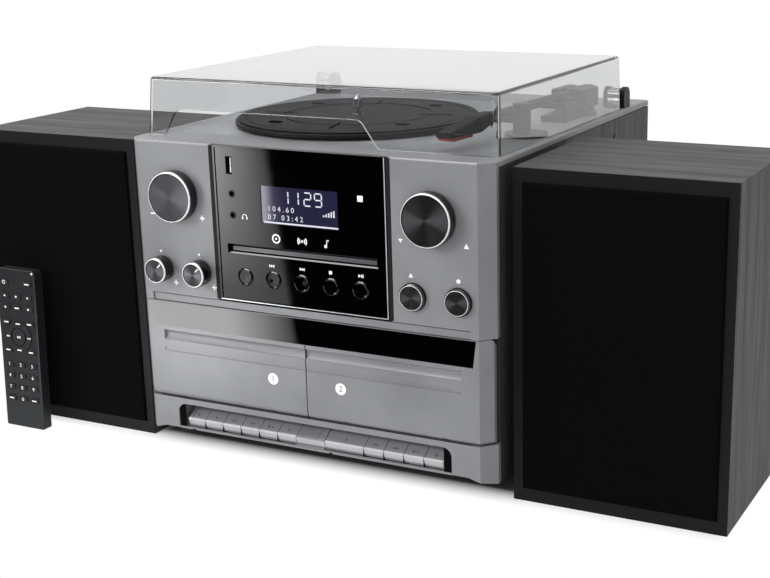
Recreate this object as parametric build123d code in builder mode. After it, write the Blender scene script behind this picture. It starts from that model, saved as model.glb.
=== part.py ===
"""Stereo music centre: turntable, radio, disc slot and two cassette decks in one housing,
with two loudspeakers and a remote control.

X runs along the front, Y goes back from it and Z goes up from the shelf, in millimetres.
A depth is measured back from the plane of the front panel.
"""
from build123d import *
import math
import os

os.makedirs("parts", exist_ok=True)

# ---------------------------------------------------------------- whole unit
unit_width = 294.8
unit_depth = 317.7
deck_top = 239.5
unit_base = 12.8
front_reach = 12.0          # the remote control stands this far in front of the panel
corner_width = 9.3          # angled corner of the front, along X
corner_depth = 10.3         # angled corner of the front, along Y
trim_depth = 14.0           # the front mouldings reach this far back
skin = 3.0                  # wall of the front mouldings
seam = 0.5                  # gap between a moving panel and its frame
slide_gap = 0.35            # gap round a button in its hole
bearing_gap = 0.06          # radial gap of a pin in its bore

front_y = -(unit_depth - front_reach) / 2
half_width = unit_width / 2
fold_x = half_width - corner_width

# ---------------------------------------------------------------- cabinet
side_board = 9.0
bottom_board = 4.0
rear_board = 3.0
deck_plate = 5.0            # the deck's top stands this far above the cabinet
cabinet_top = deck_top - deck_plate
shadow_gap = 0.8
deck_skirt = 8.0
fit_gap = 0.2               # slack of one fixed piece inside another
bay_width = 190.0
bay_height = 66.0
bay_centre = (0.0, 96.0)
bay_depth = 14.0
vent_length = 60.0
vent_width = 3.0
vent_pitch = 8.0
vent_rows = 6
foot_radius = 10.0
foot_taper = 1.5
foot_inset = 30.0           # from the sides
foot_setback = 62.0         # from the front and the back

# ---------------------------------------------------------------- electronics
board_half = 115.0
board_front_depth = 150.0
board_back_depth = 290.0
board_thickness = 1.6
pillar_height = 6.0
pillar_radius = 3.0
pillar_inset = 10.0
transformer_x = (-110.0, -52.0)
transformer_depth = (200.0, 250.0)
transformer_height = 46.0
sink_x = (20.0, 100.0)
sink_front = 170.0
sink_height = 38.0
sink_plate = 6.0
fin_count = 9
fin_pitch = 9.0
fin_width = 2.0
fin_length = 14.0
capacitor_x = (-30.0, -8.0)
capacitor_depth = 240.0
capacitor_radius = 8.0
capacitor_height = 30.0

# ---------------------------------------------------------------- rear sockets
aerial_x = -78.0
aerial_rise = 12.0
aerial_radius = 5.5
aerial_pin_hole = 1.2
line_out_x = -48.0
line_out_pitch = 16.0
socket_pitch = 22.0
line_out_radius = 4.2
line_out_hole = 1.7
round_socket_length = 9.0
terminal_x = 12.0
terminal_width = 48.0
terminal_height = 36.0
terminal_base = 6.0
terminal_pitch = 11.0
terminal_row = 18.0
lever_width = 8.0
lever_height = 12.0
lever_reach = 5.0
inlet_x = 70.0
inlet_width = 26.0
inlet_height = 18.0
inlet_length = 10.0
inlet_mouth_width = 18.0
inlet_mouth_height = 9.0
inlet_pin_pitch = 8.0
inlet_pin_radius = 1.2

# ---------------------------------------------------------------- front panel
step_height = 124.5         # lower edge of the upper front
ledge_bottom = 118.5
ledge_half = 132.0
ledge_setback = 1.2
ledge_groove_depth = 2.1     # shadow groove along the top of the ledge
ledge_groove = 0.9
top_round = 1.8
bulkhead = 3.0
well_centre = 71.0          # middle of each cassette well, either side of the centre line
well_width = 113.0
well_bottom = 47.5
well_top = 115.0
well_depth = 24.0
well_wall = 2.0

# ---------------------------------------------------------------- centre panel
centre_half = 70.0
frame_seat = 1.1            # the panel's frame stands this far above the step
centre_bottom = step_height + frame_seat
centre_top = 239.0
centre_gap = 1.8
frame_width = 1.3
frame_rise = 0.3
panel_face = 0.5            # depth of the glossy face behind the front plane
flange_thickness = 2.0
flange_overlap = 4.0
slot_half = 62.0
slot_bottom = 161.8
slot_height = 5.2
slot_mouth = 0.9
usb_x = -57.2
usb_z = 225.15
usb_width = 5.4
usb_height = 13.1
jack_x = -55.8
jack_heights = (204.6, 189.1)
jack_radius = 3.0
jack_bore = 1.8
jack_length = 13.0
screen_half = 31.5
screen_bottom = 185.5
screen_top = 212.4
screen_depth = 1.4
module_edge = 5.0           # circuit board of the display past each end of the screen
module_below = 4.0
module_above = 8.0
module_board = 3.0
socket_board_half = 8.0
socket_board_edge = 1.5
shell_wall = 0.4            # sheet steel of the USB socket
tongue_inset = 1.0
round_button_radius = 6.4
round_button_pitch = 23.9
round_button_z = 144.0
round_button_rise = 0.9
round_button_names = ("menu_button", "previous_button", "next_button", "stop_button", "play_button")
drive_width = 136.0
drive_bottom = 153.5
drive_top = 176.0
drive_length = 141.0
disc_cavity = 126.0
motor_radius = 18.0
motor_height = 12.0

# ---------------------------------------------------------------- knobs and buttons
large_knob_radius = 19.0
large_knob_reach = 10.0
large_knob_x = 104.0
large_knob_z = 200.0
tone_knob_radius = 9.75
tone_knob_reach = 11.5
bass_x = -120.4
treble_x = -86.5
tone_knob_z = 144.0
knob_clearance = 0.6
face_sink = 0.4             # the round faces lie this deep inside their bright rims
mark_length = 5.0
mark_width = 1.2
mark_inset = 3.5
shaft_radius = 3.0
shaft_length = 12.0
ring_button_radius = 9.8
ring_button_rise = 4.0
eject_x = 89.0
record_x = 123.5
button_body = 9.0

# ---------------------------------------------------------------- cassette doors
door_side_step = 1.8        # the doors are this much narrower than the corners above
door_bottom = 42.5
door_pivot_depth = 4.0
door_back = 12.0
door_wall = 4.0
door_split = 0.4
band_bottom = 98.5
band_top = 117.7
band_end_top = 136.0
band_end_bottom = 133.5
band_thickness = 1.5
view_half = 47.0
view_bottom = 101.0
view_top = 113.5
scoop_end = 124.5
scoop_bottom = 88.0
scoop_top = 95.5
scoop_depth = 2.6
groove_bottom = 79.0
groove_top = 82.0
groove_depth = 0.6
carrier_half = 54.0
carrier_depth = 18.6
carrier_wall = 2.0
carrier_top = 96.0
carrier_lip = 1.2
carrier_tongue = 6.0
ear_spread = 40.0           # each door turns on two ears, this far from the middle of its well
ear_radius = 2.2
ear_width = 4.0
ear_gap = 0.35
door_pin_radius = 1.2
door_pin_length = 4.0
ear_slot_wall = 1.0

# ---------------------------------------------------------------- cassette mechanism
reel_spacing = 42.5
reel_z = 82.0
reel_tip_depth = 9.0
reel_radius = 4.6
reel_core = 2.6
chassis_thickness = 2.0
chassis_half = 54.0
chassis_bottom = 46.0
chassis_top = 117.0
flywheel_radius = 22.0
flywheel_thickness = 6.0
capstan_offset = 24.0
roller_radius = 5.5
roller_z = 56.0
roller_thickness = 3.5
head_half = 14.0
head_z = (50.0, 60.0)
head_thickness = 3.5
head_face_half = 7.0
head_face_z = (51.0, 58.0)
head_face_rise = 1.0
motor_offset = -30.0
motor_z = 70.0
deck_motor_radius = 12.0
deck_motor_length = 22.0
reel_stud_length = 5.0
reel_flange = 4.0
reel_rib_width = 1.6
reel_rib_rise = 1.4

# ---------------------------------------------------------------- piano keys
surround_top = 42.0
surround_rim = 18.0
crease_x = 128.8
cutout_half = 116.2
cutout_top = 37.7
cutout_round = 7.0
lip_bottom = 17.8
lip_top = 19.4
lip_depth = 2.0
lip_notches = (-103.0, 18.0)
lip_notch_width = 3.0
lip_notch_height = 0.9
key_pitch = 16.25
key_gap = 0.5
filler_half = 12.2
filler_web = 30.0           # foot of the web that joins the filler to the surround
recess_front = 2.2          # the upper faces of the keys are let in from here back
recess_back = 24.0
recess_drop = 0.5
recess_margin = 4.0         # plain edge left on the record key
slit_x = 4.4                # slanted slit in the filler
slit_width = 0.9
slit_lean = 7.0
slit_depth = 1.4
key_end_round = 1.5         # the outer ends of the two banks of keys are rounded
wide_key = 2                # the wide key is this many pitches wide
key_pivot_depth = 36.0
key_pivot_z = 38.0
axle_radius = 2.0
key_hub_radius = 4.4
cheek_width = 4.0

# ---------------------------------------------------------------- turntable
spindle_x = -24.0
spindle_depth = 129.5
spindle_radius = 3.55
spindle_top = deck_top + 21.0
bearing_radius = 4.5        # thicker part of the spindle, which carries the platter
seat_drop = 0.2             # its shoulder lies this far under a record
platter_radius = 94.5
platter_bottom = deck_top + 1.2
platter_top = platter_bottom + 3.5
mat_radius = 92.6
mat_thickness = 1.5
mat_ring_radius = 57.0
mat_slack = 0.5
label_radius = 50.0         # the middle of the mat is lower, clear of a record's label
hub_radius = 8.0
drive_ring_radius = 58.0
drive_ring_wall = 3.0
well_radius = 64.0
well_floor = deck_top - 12.5
boss_top = well_floor + 1.6
thrust_gap = 0.3

# ---------------------------------------------------------------- tone arm
pivot_x = 118.0
pivot_depth = 222.0
bend_x = 109.5              # the head shell starts here, at an angle to the tube
bend_depth = 72.0
head_angle = 9.0
stylus_height = deck_top + 6.8
tube_height = deck_top + 17.3
tube_radius = 3.6
arm_base_radius = 17.0
arm_base_top = deck_top + 3.7
post_radius = 5.0
post_top = arm_base_top + 6.0
turret_half = 14.0
turret_front = 17.0
turret_back = 16.0
turret_top = deck_top + 21.0
turret_slot = 12.0
yoke_floor = arm_base_top + 6.0
arm_block_width = 11.3
arm_block_half = 9.5
arm_pin_radius = 1.5
arm_pin_length = 3.0
weight_near = 18.5
weight_far = 26.0
weight_half = 6.0
weight_height = 11.0
shell_length = 44.0
shell_floor = stylus_height + 2.4
shell_overlap = 6.0         # it reaches back over the end of the tube
shell_collar = 9.6          # width of the head shell where it takes the tube
shell_collar_height = 8.6
shell_width = 13.5
shell_height = 11.0
shell_widens = 9.0          # it reaches its full width this far along
shell_nose = 13.0
shell_nose_height = 4.0
lift_length = 9.0           # finger lift beside the nose
lift_width = 3.0
lift_thickness = 1.2
stylus_length = 26.0
stylus_tip = 5.0            # the needle stands this far behind the front of the shell
stylus_half = 5.0
rest_x = 123.5
rest_depth = 104.0
rest_radius = 6.5
rest_top = deck_top + 24.5
rest_base_x = 124.0
rest_base_depth = 111.0
rest_base_radius = 15.5
rest_base_height = 2.5
rest_gap = 0.3
shelf_end = 104.0
shelf_step = 115.8
shelf_half = 3.0
shelf_thickness = 3.0
cue_distance = 32.0
cue_throw = 3.3
cue_bar_radius = 1.5
cue_low_angle = -30.0
cue_post_x = 122.5
cue_post_width = 6.0
cue_shaft_radius = 2.0
cue_bar_end = 94.0
cue_handle = 20.0
cue_handle_height = 5.0
cue_boss_radius = 2.8
cue_crank = 1.6
cue_foot_x = 108.0
cue_foot_height = 4.5
cue_foot_front = 14.0
cue_foot_back = 16.0
cue_post_half = 5.0
switch_x = 88.0
switch_depth = 246.0
switch_half = 8.0
switch_plate_half = 3.0
switch_plate = 2.0
switch_grip_half = 2.5
switch_grip_top = 6.0
switch_slot_half = 13.0
switch_slot_width = 2.4
switch_slot_depth = 1.0

# ---------------------------------------------------------------- dust cover
lid_bottom = deck_top + 0.3
lid_top = lid_bottom + 41.9
lid_half = 143.8            # half the width at the lower edge
lid_side_lean = 1.9         # each side leans in this much
lid_front = 21.0
lid_front_lean = 3.9
lid_back = 262.9
lid_wall = 2.0
lid_round = 5.0
lid_top_round = 2.4
notch_left_bottom = -127.0
notch_right_bottom = 53.0
notch_left_top = -116.8
notch_right_top = 38.4
notch_top = lid_bottom + 19.2
notch_round = 8.0
notch_foot_round = 4.5      # where the notch meets the lower edge
hinge_radius = 7.0
hinge_space = 1.1           # between the cover and the brackets behind it
hinge_depth = lid_back + hinge_space + hinge_radius
hinge_z = deck_top + 9.5
hinge_inner = 126.0
hinge_outer = 145.0
knuckle_inner = 130.2
knuckle_outer = 140.8
knuckle_gap = 0.4
knuckle_radius = 6.0
knuckle_bite = 0.5          # the arm of a knuckle starts this deep in the rear wall
pin_radius = 2.0

# ---------------------------------------------------------------- loudspeakers
speaker_gap = 7.8
speaker_width = 152.1
speaker_height = 235.0
speaker_depth = 130.5
speaker_setback = 18.2
speaker_board = 9.0
grille_width = 138.0
grille_height = 216.0
grille_thickness = 8.0
grille_rise = 2.0
grille_round = 2.0
grille_pocket = 4.5
grille_border = 7.0
baffle = 10.0
driver_radius = 50.0
driver_hole = 45.0
driver_flange = 3.0
driver_depth = 38.0
cone_depth = 14.0
cap_radius = 14.0
cap_rise = 10.0
magnet_radius = 30.0
basket_foot = 24.0
basket_depth = 20.0
driver_z = 117.5

# ---------------------------------------------------------------- remote control
remote_x = -261.85
remote_width = 38.5
remote_height = 130.0
remote_thickness = 9.0
remote_lean = 2.5
remote_round = 4.0
remote_key_pitch = 11.7
remote_key_width = 8.2
remote_key_height = 4.6
remote_key_rise = 0.8
remote_rows_above = (108.0, 98.7)
remote_rows_below = (51.8, 42.3, 32.8, 23.3)
remote_top_row = 119.0
remote_corner_rows = (86.5, 63.5)
remote_ring_z = 75.0
remote_ring_radius = 12.5
remote_ring_width = 4.5
remote_ring_gap = 1.5
remote_edge_round = 0.8


def front_plane(depth):
    """Plane that faces forward, with X to the right and Z up, at this depth."""
    return Plane(origin=(0, front_y + depth, 0), x_dir=(1, 0, 0), z_dir=(0, -1, 0))


def front_outline(z, inset=0.0, back=trim_depth, side_step=0.0):
    """Plan of the front mouldings: flat front, angled corners and short sides."""
    diagonal = math.hypot(corner_width, corner_depth)
    side = half_width - inset - side_step
    fold = fold_x - inset * (diagonal - corner_width) / corner_depth
    side_start = corner_depth + inset * (diagonal - corner_depth) / corner_width
    side_start -= side_step * corner_depth / corner_width
    right = [(fold, inset), (side, side_start), (side, back)]
    left = [(-x, depth) for x, depth in reversed(right)]
    with BuildSketch(Plane.XY.offset(z)) as outline:
        with BuildLine():
            Polyline(*[(x, front_y + depth) for x, depth in right + left], close=True)
        make_face()
    return outline.sketch


def block(x_limits, depth_limits, z_limits, mode=Mode.ADD):
    """Add or cut a block between these limits."""
    sizes = [high - low for low, high in (x_limits, depth_limits, z_limits)]
    middle = [(low + high) / 2 for low, high in (x_limits, depth_limits, z_limits)]
    with Locations((middle[0], front_y + middle[1], middle[2])):
        Box(*sizes, mode=mode)


def turned(points, x, z):
    """Round body about a front-to-back line through x and z, from (radius, depth) points."""
    plane = Plane(origin=(x, front_y, z), x_dir=(1, 0, 0), z_dir=(0, 0, 1))
    with BuildSketch(plane) as profile:
        with BuildLine():
            Polyline(*points, close=True)
        make_face()
    axis = Axis((x, front_y, z), (0, 1, 0))
    return revolve(profile.sketch, axis=axis, mode=Mode.PRIVATE)


def upright(points, x, depth):
    """Round body about a vertical line through x and depth, from (radius, height) points."""
    plane = Plane(origin=(x, front_y + depth, 0), x_dir=(1, 0, 0), z_dir=(0, -1, 0))
    with BuildSketch(plane) as profile:
        with BuildLine():
            Polyline(*points, close=True)
        make_face()
    axis = Axis((x, front_y + depth, 0), (0, 0, 1))
    return revolve(profile.sketch, axis=axis, mode=Mode.PRIVATE)


# ---------------------------------------------------------------- fixed pieces of the housing
front_inside = skin + flange_thickness
rear_inside = unit_depth - rear_board
cabinet_inner = half_width - side_board

# Cabinet: two side boards on a bottom board, open to the front, the rear and the top.
with BuildPart() as cabinet:
    with BuildSketch(front_plane(rear_inside)):
        with BuildLine():
            Polyline(
                (-half_width, unit_base), (half_width, unit_base), (half_width, cabinet_top),
                (cabinet_inner, cabinet_top), (cabinet_inner, unit_base + bottom_board),
                (-cabinet_inner, unit_base + bottom_board), (-cabinet_inner, cabinet_top),
                (-half_width, cabinet_top), close=True,
            )
        make_face()
    extrude(amount=rear_inside - trim_depth)
cabinet.part.label = "cabinet"
export_step(cabinet.part, "parts/cabinet.step")

# Rear panel: board with a sunk bay for the sockets and rows of slots for warm air.
bay_x = (bay_centre[0] - bay_width / 2, bay_centre[0] + bay_width / 2)
bay_z = (bay_centre[1] - bay_height / 2, bay_centre[1] + bay_height / 2)
bay_floor = unit_depth - bay_depth
with BuildPart() as rear_panel:
    block((-half_width, half_width), (rear_inside, unit_depth), (unit_base, cabinet_top))
    block(
        (bay_x[0] - rear_board, bay_x[1] + rear_board), (bay_floor - rear_board, rear_inside),
        (bay_z[0] - rear_board, bay_z[1] + rear_board),
    )
    block(bay_x, (bay_floor, unit_depth), bay_z, mode=Mode.SUBTRACT)
    with BuildSketch(front_plane(rear_inside)):
        with Locations((0, (bay_z[1] + cabinet_top) / 2)):
            with GridLocations(vent_length * 1.25, vent_pitch, 2, vent_rows):
                SlotOverall(vent_length, vent_width)
    extrude(amount=-rear_board, mode=Mode.SUBTRACT)
rear_panel.part.label = "rear_panel"
export_step(rear_panel.part, "parts/rear_panel.step")

# Front panel: upper shell with angled corners, the ledge below it, and the bulkhead behind
# the cassette doors with a walled well and two pinned ears for each deck's door.
flange_x = (-centre_half - flange_overlap, centre_half + flange_overlap)
centre_hole = centre_half + centre_gap
bulkhead_back = trim_depth + bulkhead
door_pivot_z = door_bottom + door_pivot_depth
ear_places = [
    side * well_centre + offset for side in (-1, 1) for offset in (-ear_spread, ear_spread)
]
with BuildPart() as front_panel:
    extrude(front_outline(ledge_bottom), amount=deck_top - ledge_bottom)
    rim_edges = front_panel.edges().group_by(Axis.Z)[-1].sort_by(Axis.Y)[:-1]
    fillet(rim_edges, top_round)
    extrude(
        front_outline(ledge_bottom + skin, inset=skin, back=trim_depth + skin),
        amount=deck_top - ledge_bottom - 2 * skin, mode=Mode.SUBTRACT,
    )
    block(
        (-ledge_half, ledge_half), (0, ledge_setback), (ledge_bottom, step_height),
        mode=Mode.SUBTRACT,
    )
    block(
        (-ledge_half, ledge_half), (0, ledge_groove_depth),
        (step_height - ledge_groove, step_height), mode=Mode.SUBTRACT,
    )
    block((-centre_hole, centre_hole), (0, skin), (step_height, deck_top), mode=Mode.SUBTRACT)
    block(
        (-cabinet_inner + fit_gap, cabinet_inner - fit_gap), (trim_depth, bulkhead_back),
        (surround_top, ledge_bottom + skin),
    )
    for side in (-1, 1):
        middle = side * well_centre
        well_x = (middle - well_width / 2, middle + well_width / 2)
        block(
            (well_x[0] - well_wall, well_x[1] + well_wall), (bulkhead_back, well_depth),
            (well_bottom - well_wall, well_top + well_wall),
        )
        block(well_x, (trim_depth, well_depth), (well_bottom, well_top), mode=Mode.SUBTRACT)
    with BuildSketch(front_plane(skin)):
        with Locations(
            (-large_knob_x, large_knob_z), (large_knob_x, large_knob_z),
            (bass_x, tone_knob_z), (treble_x, tone_knob_z),
        ):
            Circle(shaft_radius + slide_gap)
        with Locations((eject_x, tone_knob_z), (record_x, tone_knob_z)):
            Circle(ring_button_radius + slide_gap)
    extrude(amount=skin, mode=Mode.SUBTRACT)
    for ear_x in ear_places:
        with BuildSketch(Plane.YZ.offset(ear_x - ear_width / 2)):
            with Locations((front_y + door_pivot_depth, door_pivot_z)):
                Circle(ear_radius)
            with Locations((front_y + (door_pivot_depth + trim_depth) / 2, door_pivot_z)):
                Rectangle(trim_depth - door_pivot_depth, 2 * ear_radius)
        extrude(amount=ear_width)
        with BuildSketch(Plane.YZ.offset(ear_x - ear_width / 2 - door_pin_length)):
            with Locations((front_y + door_pivot_depth, door_pivot_z)):
                Circle(door_pin_radius)
        extrude(amount=ear_width + 2 * door_pin_length)
front_panel.part.label = "front_panel"
export_step(front_panel.part, "parts/front_panel.step")

# Centre panel: glossy face in a thin raised frame, on a flange that closes the gap round it.
centre_middle = (centre_bottom + centre_top) / 2
centre_height = centre_top - centre_bottom
with BuildPart() as centre_panel:
    with BuildSketch(front_plane(skin)):
        with Locations((0, centre_middle)):
            Rectangle(2 * centre_half, centre_height)
    extrude(amount=skin - panel_face)
    with BuildSketch(front_plane(panel_face)):
        with Locations((0, centre_middle)):
            Rectangle(2 * centre_half, centre_height)
            Rectangle(
                2 * (centre_half - frame_width), centre_height - 2 * frame_width,
                mode=Mode.SUBTRACT,
            )
    extrude(amount=panel_face + frame_rise)
    block(flange_x, (skin, front_inside), (step_height, deck_top - skin))
    block(
        (-screen_half, screen_half), (0, front_inside), (screen_bottom, screen_top),
        mode=Mode.SUBTRACT,
    )
    with BuildSketch(front_plane(front_inside)):
        with Locations((0, slot_bottom + slot_height / 2)):
            Rectangle(2 * slot_half, slot_height)
        with Locations((usb_x, usb_z)):
            Rectangle(usb_width, usb_height)
        with Locations(*[(jack_x, z) for z in jack_heights]):
            Circle(jack_radius)
        with Locations((0, round_button_z)):
            with GridLocations(round_button_pitch, 0, 5, 1):
                Circle(round_button_radius + slide_gap)
    extrude(amount=front_inside - panel_face, mode=Mode.SUBTRACT)
    slot_edges = (
        centre_panel.edges().filter_by(Axis.X)
        .filter_by(lambda edge: abs(edge.center().Z - slot_bottom - slot_height / 2) < slot_height)
        .group_by(Axis.Y)[0]
    )
    chamfer(slot_edges, slot_mouth)
centre_panel.part.label = "centre_panel"
export_step(centre_panel.part, "parts/centre_panel.step")

# Display: liquid crystal module behind the window, on its carrier board.
with BuildPart() as display:
    block(
        (-screen_half + fit_gap, screen_half - fit_gap), (screen_depth, front_inside),
        (screen_bottom + fit_gap, screen_top - fit_gap),
    )
    block(
        (-screen_half - module_edge, screen_half + module_edge),
        (front_inside, front_inside + module_board),
        (screen_bottom - module_below, screen_top + module_above),
    )
display.part.label = "display"
export_step(display.part, "parts/display.step")

# Socket board: the upright USB socket and the two jack barrels on one circuit board.
board_front = panel_face + jack_length
with BuildPart() as socket_board:
    block(
        (jack_x - socket_board_half, jack_x + socket_board_half),
        (board_front, board_front + board_thickness),
        (jack_heights[1] - socket_board_half, usb_z + usb_height / 2 + socket_board_edge),
    )
    with BuildSketch(front_plane(board_front)):
        with Locations(*[(jack_x, z) for z in jack_heights]):
            Circle(jack_radius)
    extrude(amount=jack_length)
    block(
        (usb_x - usb_width / 2, usb_x + usb_width / 2), (panel_face, board_front),
        (usb_z - usb_height / 2, usb_z + usb_height / 2),
    )
    block(
        (usb_x - usb_width / 2 + shell_wall, usb_x + usb_width / 2 - shell_wall),
        (panel_face, board_front - tongue_inset),
        (usb_z - usb_height / 2 + shell_wall, usb_z + usb_height / 2 - shell_wall),
        mode=Mode.SUBTRACT,
    )
    block(
        (usb_x + shell_wall, usb_x + usb_width / 2 - shell_wall),
        (panel_face + tongue_inset, board_front - tongue_inset),
        (usb_z - usb_height / 2 + tongue_inset, usb_z + usb_height / 2 - tongue_inset),
    )
    with BuildSketch(front_plane(board_front)):
        with Locations(*[(jack_x, z) for z in jack_heights]):
            Circle(jack_bore)
    extrude(amount=jack_length, mode=Mode.SUBTRACT)
socket_board.part.label = "socket_board"
export_step(socket_board.part, "parts/socket_board.step")

# Disc drive: slot loading mechanism case, open at the front for a twelve centimetre disc.
with BuildPart() as cd_drive:
    block(
        (-drive_width / 2, drive_width / 2), (front_inside, front_inside + drive_length),
        (drive_bottom, drive_top),
    )
    fillet(cd_drive.edges().filter_by(Axis.Z), skin)
    block(
        (-slot_half, slot_half), (front_inside, front_inside + disc_cavity),
        (slot_bottom, slot_bottom + slot_height), mode=Mode.SUBTRACT,
    )
    with Locations((0, front_y + front_inside + disc_cavity / 2, drive_bottom)):
        Cylinder(motor_radius, motor_height, align=(Align.CENTER, Align.CENTER, Align.MAX))
cd_drive.part.label = "cd_drive"
export_step(cd_drive.part, "parts/cd_drive.step")

# Main board: circuit board on pillars above the bottom board, with transformer and heat sink.
floor_top = unit_base + bottom_board
board_bottom = floor_top + pillar_height
board_top = board_bottom + board_thickness
board_middle = (board_front_depth + board_back_depth) / 2
with BuildPart() as main_board:
    block(
        (-board_half, board_half), (board_front_depth, board_back_depth), (board_bottom, board_top)
    )
    with Locations((0, front_y + board_middle, floor_top)):
        with GridLocations(
            2 * (board_half - pillar_inset), board_back_depth - board_front_depth - 2 * pillar_inset,
            2, 2,
        ):
            Cylinder(pillar_radius, pillar_height, align=(Align.CENTER, Align.CENTER, Align.MIN))
    block(transformer_x, transformer_depth, (board_top, board_top + transformer_height))
    block(sink_x, (sink_front, sink_front + sink_plate), (board_top, board_top + sink_height))
    sink_middle = (sink_x[0] + sink_x[1]) / 2
    with Locations((
        sink_middle, front_y + sink_front + sink_plate + fin_length / 2, board_top + sink_height / 2,
    )):
        with GridLocations(fin_pitch, 0, fin_count, 1):
            Box(fin_width, fin_length, sink_height)
    with Locations(*[(x, front_y + capacitor_depth, board_top) for x in capacitor_x]):
        Cylinder(capacitor_radius, capacitor_height, align=(Align.CENTER, Align.CENTER, Align.MIN))
main_board.part.label = "main_board"
export_step(main_board.part, "parts/main_board.step")

# Turntable deck: top plate on a narrow shadow line, with the round well for the drive ring.
spindle_y = front_y + spindle_depth
deck_underside = cabinet_top + shadow_gap
with BuildPart() as turntable_deck:
    block((-half_width, half_width), (trim_depth, unit_depth), (deck_underside, deck_top))
    fillet(turntable_deck.edges().group_by(Axis.Z)[-1].filter_by(Axis.Y), top_round)
    block(
        (-half_width + 1, half_width - 1), (trim_depth, unit_depth - 1), (cabinet_top, deck_underside)
    )
    skirt = (-cabinet_inner + fit_gap, cabinet_inner - fit_gap)
    skirt_depth = (bulkhead_back, rear_inside - fit_gap)
    block(skirt, skirt_depth, (cabinet_top - deck_skirt, cabinet_top))
    block(
        (skirt[0] + skin, skirt[1] - skin), (skirt_depth[0] + skin, skirt_depth[1] - skin),
        (cabinet_top - deck_skirt, deck_underside), mode=Mode.SUBTRACT,
    )
    with Locations((spindle_x, spindle_y, well_floor - skin)):
        Cylinder(
            well_radius + skin, deck_top - well_floor + skin,
            align=(Align.CENTER, Align.CENTER, Align.MIN),
        )
    with Locations((spindle_x, spindle_y, well_floor)):
        Cylinder(
            well_radius, deck_top - well_floor, align=(Align.CENTER, Align.CENTER, Align.MIN),
            mode=Mode.SUBTRACT,
        )
        Cylinder(
            hub_radius, boss_top - well_floor, align=(Align.CENTER, Align.CENTER, Align.MIN)
        )
    with Locations((spindle_x, spindle_y, well_floor - skin)):
        Cylinder(
            bearing_radius, deck_top - well_floor, align=(Align.CENTER, Align.CENTER, Align.MIN),
            mode=Mode.SUBTRACT,
        )
    with BuildSketch(Plane.XY.offset(deck_top)):
        with Locations((switch_x, front_y + switch_depth)):
            SlotOverall(2 * switch_slot_half, switch_slot_width)
    extrude(amount=-switch_slot_depth, mode=Mode.SUBTRACT)
turntable_deck.part.label = "turntable_deck"
export_step(turntable_deck.part, "parts/turntable_deck.step")

# Spindle: steel pin fixed in the boss of the well. Its thicker lower part carries the platter,
# and the record pin above the shoulder is tapered at the top to find a record's hole.
mat_top = platter_top + mat_thickness
pin_foot = mat_top - seat_drop
with BuildPart() as spindle:
    add(upright(
        [(0, well_floor - skin), (bearing_radius, well_floor - skin), (bearing_radius, pin_foot),
         (spindle_radius, pin_foot), (spindle_radius, spindle_top - 3),
         (spindle_radius - 1.2, spindle_top - 0.6), (spindle_radius - 2, spindle_top),
         (0, spindle_top)],
        spindle_x, spindle_depth,
    ))
spindle.part.label = "spindle"
export_step(spindle.part, "parts/spindle.step")

# Feet: four rubber pads under the bottom board.
with BuildPart() as feet:
    foot_span_x = 2 * (half_width - foot_inset)
    foot_span_y = unit_depth - 2 * foot_setback
    with Locations((0, front_y + unit_depth / 2, 0)):
        with GridLocations(foot_span_x, foot_span_y, 2, 2):
            Cone(
                foot_radius - foot_taper, foot_radius, unit_base,
                align=(Align.CENTER, Align.CENTER, Align.MIN),
            )
feet.part.label = "feet"
export_step(feet.part, "parts/feet.step")

# Rear sockets: aerial, line out, speaker and mains sockets, standing on the floor of the bay.
bay_z_middle = bay_centre[1]
with BuildPart() as rear_sockets:
    with BuildSketch(front_plane(bay_floor)):
        with Locations((aerial_x, bay_z_middle + aerial_rise)):
            Circle(aerial_radius)
            Circle(aerial_pin_hole, mode=Mode.SUBTRACT)
        with Locations((line_out_x, bay_z_middle)):
            with GridLocations(line_out_pitch, socket_pitch, 2, 2):
                Circle(line_out_radius)
                Circle(line_out_hole, mode=Mode.SUBTRACT)
    extrude(amount=-round_socket_length)
    with BuildSketch(front_plane(bay_floor)):
        with Locations((terminal_x, bay_z_middle)):
            RectangleRounded(terminal_width, terminal_height, 2)
    extrude(amount=-terminal_base)
    with BuildSketch(front_plane(bay_floor + terminal_base)):
        with Locations((terminal_x, bay_z_middle)):
            with GridLocations(terminal_pitch, terminal_row, 4, 2):
                RectangleRounded(lever_width, lever_height, 1.2)
    extrude(amount=-lever_reach)
    with BuildSketch(front_plane(bay_floor)):
        with Locations((inlet_x, bay_z_middle)):
            RectangleRounded(inlet_width, inlet_height, 3)
    extrude(amount=-inlet_length)
    with BuildSketch(front_plane(bay_floor + inlet_length)):
        with Locations((inlet_x, bay_z_middle)):
            SlotOverall(inlet_mouth_width, inlet_mouth_height)
    extrude(amount=inlet_length - rear_board, mode=Mode.SUBTRACT)
    with BuildSketch(front_plane(bay_floor)):
        with Locations((inlet_x, bay_z_middle)):
            with GridLocations(inlet_pin_pitch, 0, 2, 1):
                Circle(inlet_pin_radius)
    extrude(amount=-inlet_length + 1)
rear_sockets.part.label = "rear_sockets"
export_step(rear_sockets.part, "parts/rear_sockets.step")

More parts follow.
